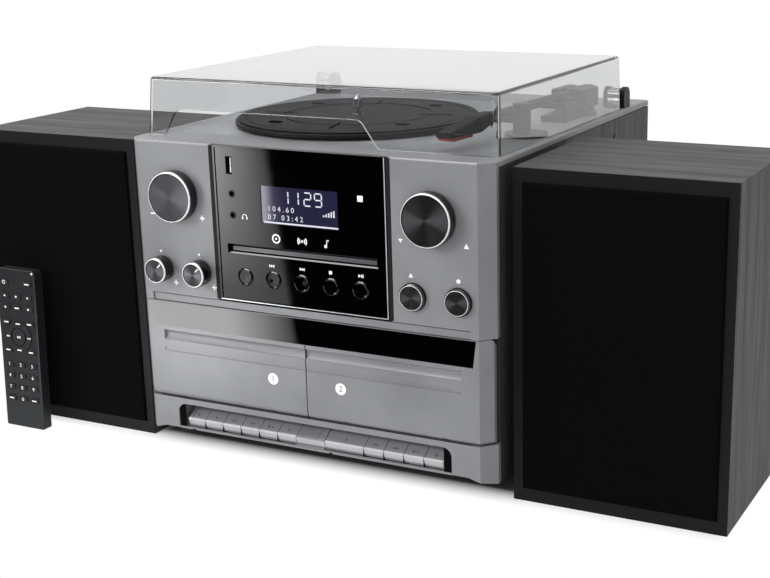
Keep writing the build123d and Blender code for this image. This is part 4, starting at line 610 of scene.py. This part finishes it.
# -------- sockets on the front
# Upright data socket and two jack barrels, black on their board behind the acrylic. The socket has
# a white tongue and the jacks have moulded grey mouths.
dress(black_abs, "socket_board")
jack_rims = bmesh.new()
for z in (204.6, 189.1):
    add_ring(jack_rims, front_place(-55.8, z, depth=0.5), 2.45, 0.7, thickness=0.25)
grey_abs = moulded_abs("grey_moulded_abs", "#2c2c2e", "#38383a", 0.4)
make_piece("jack_rims", jack_rims, grey_abs, "housing")
tongue = bmesh.new()
add_bar(tongue, front_place(-56.0, 225.15, depth=1.6), 0.8, 10.6, thickness=0.5)
make_piece("data_socket_tongue", tongue, white_plastic, "housing")

# -------- disc slot
# Grey satin plastic strip that fills the slot: painted light, for the light on the slot's lower lip.
# It is fixed in the slot.


def soften(shape, radius, segments=3):
    """Round every edge of a shape by a radius in mm."""
    bmesh.ops.bevel(
        shape, geom=shape.edges[:], offset=radius / 1000, offset_type="OFFSET", segments=segments,
        profile=0.5, affect="EDGES", material=-1,
    )


# Painted light: a grey strip in the dark slot, where its lower lip catches the light.
slot_light_strip = bmesh.new()
add_bar(slot_light_strip, front_place(1.2, 164.5, depth=2.6), 119.0, 3.2, thickness=0.9)
soften(slot_light_strip, 0.3)
slot_light_abs = moulded_abs("grey_satin_abs_painted_light", "#4a4b4f", "#5c5d61", 0.3, specular=0.5)
make_piece("disc_slot_painted_light", slot_light_strip, slot_light_abs, "housing")

# -------- round buttons
# Polished black caps, slightly dished, in round holes of the acrylic. The chamfer round each one
# catches the light as a fine ring.
dress(black_acrylic, "menu_button", "previous_button", "next_button", "stop_button", "play_button")

# -------- knobs
# Black moulded skirts with a dark spun aluminium disc let into the front and a diamond-cut bright
# bevel round it. The turning lathe leaves circular lines that catch the light as two cones.
gloss_abs = moulded_abs(
    "black_gloss_abs", "#070708", "#0d0d0e", 0.24, specular=0.5, grain_scale=400
)
dress(gloss_abs, "volume_knob", "scroll_knob", "bass_knob", "treble_knob", "eject_button",
      "record_button")


def add_turned(shape, place, points, steps=96):
    """Round body from (radius, height) points in mm, about the place's own axis."""
    known = set(shape.verts)
    profile = [shape.verts.new((r / 1000, 0, h / 1000)) for r, h in points]
    edges = [shape.edges.new(pair) for pair in zip(profile, profile[1:])]
    bmesh.ops.spin(
        shape, geom=profile + edges, cent=(0, 0, 0), axis=(0, 0, 1), angle=math.tau, steps=steps,
        use_merge=True,
    )
    fresh = [vertex for vertex in shape.verts if vertex not in known]
    bmesh.ops.remove_doubles(shape, verts=fresh, dist=1e-7)
    fresh = [vertex for vertex in shape.verts if vertex not in known]
    bmesh.ops.transform(shape, matrix=place, verts=fresh)


def spun_aluminium(name, centre):
    """Disc turned on a lathe and anodised: lines 0.6 mm apart, to show, round a centre in metres."""
    material = new_material(name)
    place = add_node(material, "ShaderNodeTexCoord").outputs["Object"]
    middle = add_node(material, "ShaderNodeMapping", {"Vector": place, "Location": -centre})
    lines = add_node(material, "ShaderNodeTexWave", {
        "Vector": middle, "Scale": 500, "Distortion": 0.6, "Detail": 1.0,
    }, wave_type="RINGS", rings_direction="Y")
    tone = add_node(material, "ShaderNodeMix", {
        0: lines, 6: linear("#464649"), 7: linear("#555558"),
    }, data_type="RGBA")
    groove = add_node(material, "ShaderNodeBump", {"Height": lines, "Distance": 0.000004})
    around = add_node(
        material, "ShaderNodeVectorMath", {0: middle, 1: (0, 1, 0)}, operation="CROSS_PRODUCT"
    )
    turning = add_node(
        material, "ShaderNodeVectorTransform", {"Vector": around}, vector_type="VECTOR",
        convert_from="OBJECT", convert_to="WORLD",
    )
    shader = add_node(material, "ShaderNodeBsdfPrincipled", {
        "Base Color": tone, "Normal": groove, "Tangent": turning, "Metallic": 1.0,
        "Roughness": 0.4, "Anisotropic": 0.95,
    })
    add_node(material, "ShaderNodeOutputMaterial", {"Surface": shader})
    return material


round_controls = {
    "volume_knob": (-104.0, 200.0, 19.0, 10.0), "scroll_knob": (104.0, 200.0, 19.0, 10.0),
    "bass_knob": (-120.4, 144.0, 9.75, 11.5), "treble_knob": (-86.5, 144.0, 9.75, 11.5),
    "eject_button": (89.0, 144.0, 9.8, 4.0), "record_button": (123.5, 144.0, 9.8, 4.0),
}
cut_metal = worked_metal("diamond_cut_aluminium", "#eeeeef", "#ffffff", 0.3, 0.4, metallic=0.35)
for name, (x, z, radius, reach) in round_controls.items():
    spot = front_place(x, z, depth=-reach)
    disc = bmesh.new()
    face_radius = radius - 1.35
    add_turned(disc, spot, [
        (0, -0.34), (0, -0.2), (face_radius, -0.2), (face_radius, -0.34), (0, -0.34),
    ])
    face_metal = spun_aluminium(f"spun_aluminium_{name}", spot.to_translation())
    make_piece(f"{name}_disc", disc, face_metal, f"{name}_body")
    bevel = bmesh.new()
    add_turned(bevel, spot, [
        (radius - 1.4, -0.2), (radius - 1.3, 0.04), (radius - 1.0, 0.04), (radius - 0.42, -0.9),
        (radius - 0.55, -1.0), (radius - 1.1, -0.06), (radius - 1.2, -0.06), (radius - 1.4, -0.3),
        (radius - 1.4, -0.2),
    ])
    make_piece(f"{name}_bevel", bevel, cut_metal, f"{name}_body")
for name in ("bass_knob", "treble_knob"):
    x, z, radius, reach = round_controls[name]
    pointer = bmesh.new()
    turned_spot = front_place(x, z, depth=0.2 - reach) @ Matrix.Rotation(math.radians(45), 4, "Z")
    add_bar(pointer, turned_spot, 3.6, 0.8, thickness=0.1, at=(radius - 4.1, 0))
    make_piece(f"{name}_pointer", pointer, white_ink, f"{name}_body")

# -------- piano keys
# Moulded ABS keys in grey lacquer, each with a dark mark in the recess on top: record, play, wind
# back, wind on, stop and pause. The lip is painted lighter, as painted light, and the recess darker,
# as painted shade.
# Painted light and shade: a light grey on the lips, and the flat darker grey on the recesses behind
# 2.4 mm.
key_lacquer_lit_and_shaded = metallic_lacquer(
    "key_lacquer_painted_light_and_shade", "#a6a7a9", "#c0c1c3", 0.3, painted_shade_from=front_y + 0.0024
)
key_nodes = {
    "record_key": "record", "left_play_key": "play", "left_rewind_key": "back",
    "left_forward_key": "on", "left_stop_key": "stop", "left_pause_key": "pause",
    "right_play_key": "play", "right_rewind_key": "back", "right_forward_key": "on",
    "right_stop_key": "stop", "right_pause_key": "pause",
}
key_slope = math.atan2(31.6 - 26.0, 10.0 - 1.0)
mark_depth, mark_height = 5.5, 28.36
for name, sign in key_nodes.items():
    dress(key_lacquer_lit_and_shaded, name)
    low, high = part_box(name)
    spot = Matrix.Translation(
        ((low.x + high.x) / 2, front_y + mark_depth / 1000, mark_height / 1000)
    ) @ Matrix.Rotation(key_slope, 4, "X")
    sign_shape = bmesh.new()
    if sign == "record":
        add_disc(sign_shape, spot, 1.1)
    elif sign == "play":
        add_arrow(sign_shape, spot, 1.4, "left")
    elif sign in ("back", "on"):
        for shift in (-1.1, 1.1):
            add_arrow(sign_shape, spot, 1.3, "left" if sign == "on" else "right", at=(shift, 0))
    elif sign == "stop":
        add_bar(sign_shape, spot, 1.9, 1.9, at=(-1.6, 0))
        add_arrow(sign_shape, spot, 1.3, "up", at=(1.6, 0))
    else:
        for shift in (-0.7, 0.7):
            add_bar(sign_shape, spot, 0.7, 2.2, at=(shift, 0))
    make_piece(f"{name}_mark", sign_shape, grey_ink, f"{name}_body")

# -------- filler lip
# Lacquered plate on the front edge of the fixed piece between the two groups of keys, in the
# keys' lighter lip grey, which is painted light. It leans out at the top as the keys' edges do.
lip_width, lip_height, lip_middle, lip_depth = 24.0, 5.8, 23.1, 1.88
lip_foot, lip_head = (2.87, 20.0), (1.0, 26.0)
lip_lean = math.atan2(lip_foot[0] - lip_head[0], lip_head[1] - lip_foot[1])
lit_lip_plate = bmesh.new()
lip_place = front_place(0, lip_middle, depth=lip_depth) @ Matrix.Rotation(lip_lean, 4, "X")
add_bar(lit_lip_plate, lip_place, lip_width, lip_height, thickness=0.08)
make_piece("filler_lip_painted_light", lit_lip_plate, key_lacquer_lit_and_shaded, "housing")

# -------- painted shade in the key gaps
# Thin black fins in the gaps between the piano keys and a black plate at each end of the bank,
# painted shade so that the gaps stay dark.
fin_width, fin_inset, widest_gap = 0.4, 0.5, 0.001
end_plate_x, end_plate_width, end_plate_height = 112.8, 5.8, 18.0
fin_outline = ((0.9, 17.0), (0.9, 25.6), (10.0, 31.3), (20.0, 34.7), (20.0, 17.0))
key_edges = sorted({round(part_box(name)[side].x, 6) for name in key_nodes for side in (0, 1)})
gap_middles = [
    (left + right) / 2
    for left, right in zip(key_edges, key_edges[1:]) if right - left < widest_gap
]
key_gap_shade = bmesh.new()
for middle in gap_middles:
    outline = [
        key_gap_shade.verts.new((
            middle - fin_width / 2000, front_y + (depth + fin_inset) / 1000, (z - fin_inset) / 1000
        )) for depth, z in fin_outline
    ]
    side_face = key_gap_shade.faces.new(outline)
    grown = bmesh.ops.extrude_face_region(key_gap_shade, geom=[side_face])["geom"]
    far_side = [part for part in grown if isinstance(part, bmesh.types.BMVert)]
    bmesh.ops.translate(key_gap_shade, vec=(fin_width / 1000, 0, 0), verts=far_side)
for side in (-1, 1):
    end_place = front_place(side * end_plate_x, 28.0, depth=0.65)
    add_bar(key_gap_shade, end_place, end_plate_width, end_plate_height, thickness=0.3)
make_piece("key_gap_painted_shade", key_gap_shade, foam_and_painted_shade, "housing")

# -------- cassette deck insides
# Reel hubs moulded in off-white acetal, with a soft gloss. They turn on the chassis and are seen
# when a door is open.
acetal = moulded_abs("white_acetal", "#cfcfca", "#dededa", 0.35, specular=0.5)
dress(acetal, "left_supply_reel", "left_take_up_reel", "right_supply_reel", "right_take_up_reel")

# -------- platter and mat
# Moulded platter under a rubber mat with fine concentric grooves and raised rings. Four pads and
# four radial lines of black foam rubber lie on it.
dress(black_abs, "platter")
spindle_low, spindle_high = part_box("spindle")
spindle_centre = (spindle_low + spindle_high) / 2
grooved_rubber = new_material("grooved_rubber")
rubber_place = add_node(grooved_rubber, "ShaderNodeTexCoord").outputs["Object"]
groove_place = add_node(grooved_rubber, "ShaderNodeMapping", {
    "Vector": rubber_place, "Location": (-spindle_centre.x, -spindle_centre.y, 0),
})
grooves = add_node(grooved_rubber, "ShaderNodeTexWave", {
    "Vector": groove_place, "Scale": 210, "Distortion": 0.0,
}, wave_type="RINGS", rings_direction="Z")
dust = add_node(grooved_rubber, "ShaderNodeTexNoise", {
    "Vector": groove_place, "Scale": 60, "Detail": 5.0,
})
rubber_tone = add_node(grooved_rubber, "ShaderNodeMix", {
    0: dust, 6: linear("#0d0d0f"), 7: linear("#18191c"),
}, data_type="RGBA")
groove_relief = add_node(grooved_rubber, "ShaderNodeBump", {"Height": grooves, "Distance": 0.0001})
groove_shader = add_node(grooved_rubber, "ShaderNodeBsdfPrincipled", {
    "Base Color": rubber_tone, "Roughness": 0.5, "Normal": groove_relief, "IOR": 1.52,
    "Specular IOR Level": 0.08,
})
add_node(grooved_rubber, "ShaderNodeOutputMaterial", {"Surface": groove_shader})
dress(grooved_rubber, "platter_mat")
mat_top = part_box("platter_mat")[1].z
pads = bmesh.new()
pad_turn, pad_radius, line_turn, line_radius = 57.5, 70.0, 46.0, 62.0
for quarter in range(4):
    angle = math.radians(pad_turn + 90 * quarter)
    place = Matrix.Translation((spindle_centre.x, spindle_centre.y, mat_top))
    place = place @ Matrix.Rotation(angle, 4, "Z")
    pad_place = place @ in_mm(pad_radius, 0) @ Matrix.Rotation(-angle, 4, "Z")
    add_bar(pads, pad_place, 9.0, 5.0, thickness=0.6)
    line_place = place @ Matrix.Rotation(math.radians(line_turn), 4, "Z")
    add_bar(pads, line_place, 26.0, 1.7, thickness=0.3, at=(line_radius, 0))
make_piece("mat_pads", pads, foam_and_painted_shade, "platter_body")

# -------- spindle
# Turned steel pin, polished so that it shines in one bright line. The platter turns round it and
# a record is centred on it.
turned_steel = worked_metal("turned_steel", "#9c9da0", "#b4b5b8", 0.16, 0.3)
dress(turned_steel, "spindle")

# -------- tone arm
# Moulded arm, turret, rest and lifting lever in satin black ABS, with a red cartridge pushed into
# the tip of the arm. The switch for the speed is in the same black.
arm_abs = moulded_abs(
    "black_satin_abs", "#08080a", "#0f0f11", 0.4, specular=0.08, grain_scale=900
)
dress(arm_abs, "arm_base", "arm_rest", "arm_turret", "tonearm", "cue_lever", "speed_switch")
dress(red_plastic, "stylus")

# -------- dust cover
# Smoked clear polystyrene moulding 2 mm thick: faintly grey and glossy, with bright edges. It
# swings on two pins at the back.
clear_cover = new_material("smoked_clear_polystyrene")
cover_place = add_node(clear_cover, "ShaderNodeTexCoord").outputs["Object"]
wipe = add_node(clear_cover, "ShaderNodeTexNoise", {
    "Vector": cover_place, "Scale": 25, "Detail": 5.0,
})
cover_rough = add_node(clear_cover, "ShaderNodeMapRange", {
    0: wipe, 1: 0.45, 2: 0.75, 3: 0.0, 4: 0.04,
})
cover_shader = add_node(clear_cover, "ShaderNodeBsdfPrincipled", {
    "Base Color": linear("#e4e5e6"), "Roughness": cover_rough, "IOR": 1.49,
    "Transmission Weight": 1.0,
})
add_node(clear_cover, "ShaderNodeOutputMaterial", {"Surface": cover_shader})
dress(clear_cover, "dust_cover")

# -------- loudspeaker cabinets
# Fibreboard boxes wrapped in black ash foil, grain across the top and up the sides, with the front
# edges sprayed black.
ash_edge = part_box("speaker_cabinets")[0].y + 0.0006
ash_foil = wood_foil(
    "black_ash_foil", "#383837", "#50504f", (0.05, 1, 0.05), 0.55, 0.08, sprayed_to=ash_edge
)
dress(ash_foil, "speaker_cabinets")

# -------- grilles
# Black polyester cloth stretched over a frame, an even weave of threads about 0.8 mm apart, with
# bare black plastic drivers behind it.
grille_cloth = new_material("black_polyester_cloth")
weave_place = add_node(grille_cloth, "ShaderNodeTexCoord").outputs["Object"]
warp = add_node(grille_cloth, "ShaderNodeTexWave", {"Vector": weave_place, "Scale": 390},
                wave_type="BANDS", bands_direction="X")
weft = add_node(grille_cloth, "ShaderNodeTexWave", {"Vector": weave_place, "Scale": 390},
                wave_type="BANDS", bands_direction="Z")
weave = add_node(grille_cloth, "ShaderNodeMath", {0: warp, 1: weft}, operation="MULTIPLY")
thread = add_node(grille_cloth, "ShaderNodeMix", {
    0: weave, 6: linear("#030303"), 7: linear("#0b0b0b"),
}, data_type="RGBA")
thread_relief = add_node(grille_cloth, "ShaderNodeBump", {"Height": weave, "Distance": 0.0002})
cloth_shader = add_node(grille_cloth, "ShaderNodeBsdfPrincipled", {
    "Base Color": thread, "Roughness": 0.9, "Normal": thread_relief, "IOR": 1.45,
    "Specular IOR Level": 0.05,
})
add_node(grille_cloth, "ShaderNodeOutputMaterial", {"Surface": cloth_shader})
dress(grille_cloth, "speaker_grilles")
dress(black_abs, "speaker_drivers")

# -------- loudspeaker terminals
# Spring clips for bare wire in a moulded plate on the back of each loudspeaker, one red and one
# black. Their edges are rounded.
speaker_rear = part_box("speaker_cabinets")[1].y
for side, name in ((-1, "left"), (1, "right")):
    plate_place = Matrix.Translation((side * 0.23125, speaker_rear, 0.075)) @ rear_axes
    plate = bmesh.new()
    add_bar(plate, plate_place, 52, 36, thickness=1.6)
    soften(plate, 0.8)
    make_piece(f"{name}_terminal_plate", plate, black_abs, "housing")
    for shift, material, colour in ((-9, red_plastic, "red"), (9, arm_abs, "black")):
        clip = bmesh.new()
        add_bar(clip, plate_place, 10, 12, thickness=4.5, at=(shift, 3))
        add_bar(clip, plate_place, 10, 5, thickness=3.0, at=(shift, -6))
        soften(clip, 0.6, segments=2)
        make_piece(f"{name}_{colour}_clip", clip, material, "housing")

# -------- remote control
# Slim case in dark blue-grey ABS with a keypad of black rubber moulded in one sheet. Figures and
# plain marks are printed on it in white, and a small lamp sits at the top.
remote_abs = moulded_abs("blue_grey_abs", "#15171a", "#1d2023", 0.42)
dress(remote_abs, "remote_case")
keypad_rubber = moulded_rubber("keypad_rubber", "#121315", "#1a1c1f")
dress(keypad_rubber, "remote_keypad")

remote_x, key_pitch, lamp_shift = -261.85, 11.7, 5.4
remote_lean = math.radians(2.5)
remote_face = Matrix.Translation((remote_x / 1000, front_y - 0.012, 0))
remote_face = remote_face @ Matrix.Rotation(math.pi / 2 - remote_lean, 4, "X")


def key_spot(column, height, lift=0.8):
    """Place on the keypad: column -1, 0 or 1, height up the face in mm."""
    return remote_face @ in_mm(column * key_pitch, height, lift)


prints = bmesh.new()
for row, height in enumerate((51.8, 42.3, 32.8)):
    for column in (-1, 0, 1):
        add_text(prints, key_spot(column, height), str(3 * row + column + 2), 3.0)
add_text(prints, key_spot(0, 23.3), "0", 3.0)
for column, height in (
    (-1, 23.3), (1, 23.3), (0, 98.7), (1, 119.0), (-1, 86.5), (1, 86.5), (-1, 63.5), (1, 63.5),
    (0, 85.8), (0, 64.2),
):
    add_bar(prints, key_spot(column, height), 4.4, 0.9)
add_ring(prints, key_spot(-1, 119.0), 1.4, 0.4, angle=300.0, start=120.0, steps=24)
add_bar(prints, key_spot(-1, 119.0), 0.4, 1.8, at=(0, 1.2))
for column in (-1, 1):
    add_arrow(prints, key_spot(column, 108.0), 1.2, "up")
    add_arrow(prints, key_spot(column, 98.7), 1.2, "down")
add_bar(prints, key_spot(0, 108.0), 2.0, 0.6)
add_bar(prints, key_spot(0, 108.0), 0.6, 0.7, at=(0, 0.65))
add_bar(prints, key_spot(0, 108.0), 0.6, 0.7, at=(0, -0.65))
centre_key = key_spot(0, 75.0)
add_arrow(prints, centre_key, 1.2, "right", at=(-0.7, 0))
for shift in (0.7, 1.6):
    add_bar(prints, centre_key, 0.5, 2.0, at=(shift, 0))
for direction, way in ((-1, "left"), (1, "right")):
    for shift in (9.6, 11.0):
        add_arrow(prints, centre_key, 0.85, way, at=(direction * shift, 0))
    add_bar(prints, centre_key, 0.4, 1.5, at=(direction * 12.0, 0))
make_piece("remote_marks", prints, white_ink, "housing")

lamp = bmesh.new()
add_turned(lamp, key_spot(1, 127.9, lift=0.0) @ in_mm(lamp_shift, 0), [
    (0, 0), (1.0, 0), (0.9, 0.3), (0.5, 0.5), (0, 0.55),
], steps=24)
make_piece("remote_lamp", lamp, white_plastic, "housing")

# -------- floor
# White paper sweep that keeps the shadow of the set and runs out into the white background. The
# paper is painted a darker grey under the set itself, a painted shade that deepens the shadow
# between its feet.


def shown_rays(owner):
    """1 for rays of the camera, in gloss and through clear plastic, 0 for rays that light."""
    ray = add_node(owner, "ShaderNodeLightPath")
    seen = add_node(owner, "ShaderNodeMath", {
        0: ray.outputs["Is Camera Ray"], 1: ray.outputs["Is Glossy Ray"],
    }, operation="MAXIMUM")
    return add_node(owner, "ShaderNodeMath", {
        0: seen, 1: ray.outputs["Is Transmission Ray"],
    }, operation="MAXIMUM")


shadow_reach, fade_width, under_set, clear_of_set = (0.285, 0.122, 0), 0.024, 0.148, 0.165
white_paper = new_material("white_paper")
paper_place = add_node(white_paper, "ShaderNodeTexCoord").outputs["Object"]
spread = add_node(white_paper, "ShaderNodeVectorMath", {0: paper_place}, operation="ABSOLUTE")
past_edge = add_node(
    white_paper, "ShaderNodeVectorMath", {0: spread, 1: shadow_reach}, operation="SUBTRACT"
)
sides = add_node(white_paper, "ShaderNodeSeparateXYZ", {"Vector": past_edge})
away = add_node(white_paper, "ShaderNodeMath", {
    0: sides.outputs["X"], 1: sides.outputs["Y"],
}, operation="MAXIMUM")
fade = add_node(white_paper, "ShaderNodeMapRange", {0: away, 2: fade_width})
shown = shown_rays(white_paper)
share = add_node(white_paper, "ShaderNodeMath", {0: shown, 1: fade}, operation="MULTIPLY")
spread_x = add_node(white_paper, "ShaderNodeSeparateXYZ", {"Vector": spread}).outputs["X"]
beside_set = add_node(
    white_paper, "ShaderNodeMapRange", {0: spread_x, 1: under_set, 2: clear_of_set}
)
free_of_painted_shade = add_node(white_paper, "ShaderNodeMath", {0: fade, 1: beside_set}, operation="MAXIMUM")
# Painted shade: dark grey paper under the set, white paper beside and in front of it.
paper_tone = add_node(white_paper, "ShaderNodeMix", {
    0: free_of_painted_shade, 6: linear("#5c5c5c"), 7: linear("#fafafa"),
}, data_type="RGBA")
paper = add_node(white_paper, "ShaderNodeBsdfDiffuse", {"Color": paper_tone})
glow = add_node(white_paper, "ShaderNodeEmission", {"Color": (1, 1, 1, 1), "Strength": 1.0})
blend = add_node(white_paper, "ShaderNodeMixShader", {0: share, 1: paper, 2: glow})
add_node(white_paper, "ShaderNodeOutputMaterial", {"Surface": blend})
floor_shape = bmesh.new()
bmesh.ops.create_grid(floor_shape, x_segments=8, y_segments=8, size=6)
floor = make_object("floor", floor_shape, white_paper)

# -------- reflection card
# Upright board just in front of the set, seen in reflections only: bright at the left, to fade
# across the gloss of the panel and the doors, and black elsewhere, to keep the blacks deep.
card_board = new_material("reflection_board")
card_place = add_node(card_board, "ShaderNodeTexCoord").outputs["Object"]
slanted = add_node(card_board, "ShaderNodeVectorMath", {
    0: card_place, 1: (1.0, 0.0, 0.13),
}, operation="DOT_PRODUCT").outputs["Value"]
heights = add_node(card_board, "ShaderNodeSeparateXYZ", {"Vector": card_place}).outputs["Z"]
panel_level = add_node(
    card_board, "ShaderNodeMapRange", {0: heights, 1: 0.085, 2: 0.2, 3: 2.0, 4: 8.0}
)
past_panel = add_node(card_board, "ShaderNodeMapRange", {
    0: slanted, 1: -0.178, 2: -0.17, 3: 0.02, 4: 1.0,
})
upper_level = add_node(
    card_board, "ShaderNodeMath", {0: panel_level, 1: past_panel}, operation="MULTIPLY"
)
door_level = add_node(
    card_board, "ShaderNodeMapRange", {0: heights, 1: 0.066, 2: 0.07, 3: 9.0, 4: 0.0}
)
full_level = add_node(
    card_board, "ShaderNodeMath", {0: upper_level, 1: door_level}, operation="MAXIMUM"
)
ramp = add_node(card_board, "ShaderNodeMapRange", {
    0: slanted, 1: -0.165, 2: -0.101, 3: full_level, 4: 1.2,
})
bright = ramp
for along, start, end, before, after in (
    (slanted, -0.102, -0.0965, 1.0, 0.0), (slanted, -0.262, -0.256, 0.0, 1.0),
    (heights, 0.208, 0.212, 1.0, 0.0),
):
    limit = add_node(card_board, "ShaderNodeMapRange", {
        0: along, 1: start, 2: end, 3: before, 4: after,
    })
    bright = add_node(card_board, "ShaderNodeMath", {0: bright, 1: limit}, operation="MULTIPLY")
board_light = add_node(card_board, "ShaderNodeEmission", {"Strength": bright})
add_node(card_board, "ShaderNodeOutputMaterial", {"Surface": board_light})
card_y = front_y - 0.15
card_left, card_right, card_foot, card_top = -0.8, 0.3, 0.002, 0.34
card_shape = bmesh.new()
card_shape.faces.new([card_shape.verts.new((x, card_y, z)) for x, z in (
    (card_left, card_foot), (card_right, card_foot), (card_right, card_top), (card_left, card_top),
)])
card = make_object("reflection_card", card_shape, card_board)
card.visible_camera = False
card.visible_diffuse = False
card.visible_transmission = False
card.visible_volume_scatter = False
card.visible_shadow = False

# -------- light
# Soft boxes above, at the left and at the right, a long one over the front that shows in gloss
# only, and a dim even world that shows white behind the set.
world = bpy.data.worlds.new("studio")
world.use_nodes = True
world.node_tree.nodes.clear()
bpy.context.scene.world = world
level = add_node(world, "ShaderNodeMapRange", {0: shown_rays(world), 3: 0.48, 4: 1.0})
background = add_node(world, "ShaderNodeBackground", {"Color": (1, 1, 1, 1), "Strength": level})
add_node(world, "ShaderNodeOutputWorld", {"Surface": background})


def soft_box(name, place, target, size, power, only_gloss=False):
    """Rectangular lamp that faces the target, hidden from the camera; it can light gloss only."""
    light = bpy.data.lights.new(name, "AREA")
    light.shape = "RECTANGLE"
    light.size, light.size_y = size
    light.energy = power
    made = bpy.data.objects.new(name, light)
    made.location = place
    made.rotation_euler = (Vector(target) - Vector(place)).to_track_quat("-Z", "Y").to_euler()
    made.visible_camera = False
    made.visible_diffuse = not only_gloss
    bpy.context.scene.collection.objects.link(made)


soft_box("top_box", (0.0, -0.1, 2.0), (0, 0, 0.1), (1.8, 1.8), 17)
soft_box("left_box", (-1.25, -1.6, 0.8), (-0.05, 0, 0.14), (0.9, 0.9), 21)
soft_box("edge_box", (-0.35, -0.55, 1.1), (0, front_y, 0.1), (1.2, 0.5), 16, only_gloss=True)
soft_box("right_box", (0.6, -1.8, 0.6), (0.05, 0, 0.14), (0.8, 0.8), 6)

# -------- camera
# A short telephoto lens in front of the set at the right, a little above the cover and leaning
# one degree. The frame is shifted a little off the axis of the lens.
camera_yaw, camera_pitch = math.radians(26.516), math.radians(15.877)
camera_roll = math.radians(-1.0)
forward = Vector((
    -math.sin(camera_yaw) * math.cos(camera_pitch), math.cos(camera_yaw) * math.cos(camera_pitch),
    -math.sin(camera_pitch),
))
level_right = Vector((math.cos(camera_yaw), math.sin(camera_yaw), 0))
level_up = level_right.cross(forward)
camera_right = level_right * math.cos(camera_roll) + level_up * math.sin(camera_roll)
camera_up = level_up * math.cos(camera_roll) - level_right * math.sin(camera_roll)
camera_data = bpy.data.cameras.new("camera")
camera_data.lens = 66.39
camera_data.sensor_width = 36
camera_data.shift_x = -0.0838
camera_data.shift_y = 0.0165
camera_data.dof.use_dof = False
camera = bpy.data.objects.new("camera", camera_data)
camera.matrix_world = Matrix.Translation((0.52697, front_y - 0.82245, 0.40515)) @ Matrix(
    (camera_right, camera_up, -forward)
).transposed().to_4x4()
bpy.context.scene.collection.objects.link(camera)
bpy.context.scene.camera = camera
bpy.context.scene.view_settings.view_transform = "Standard"
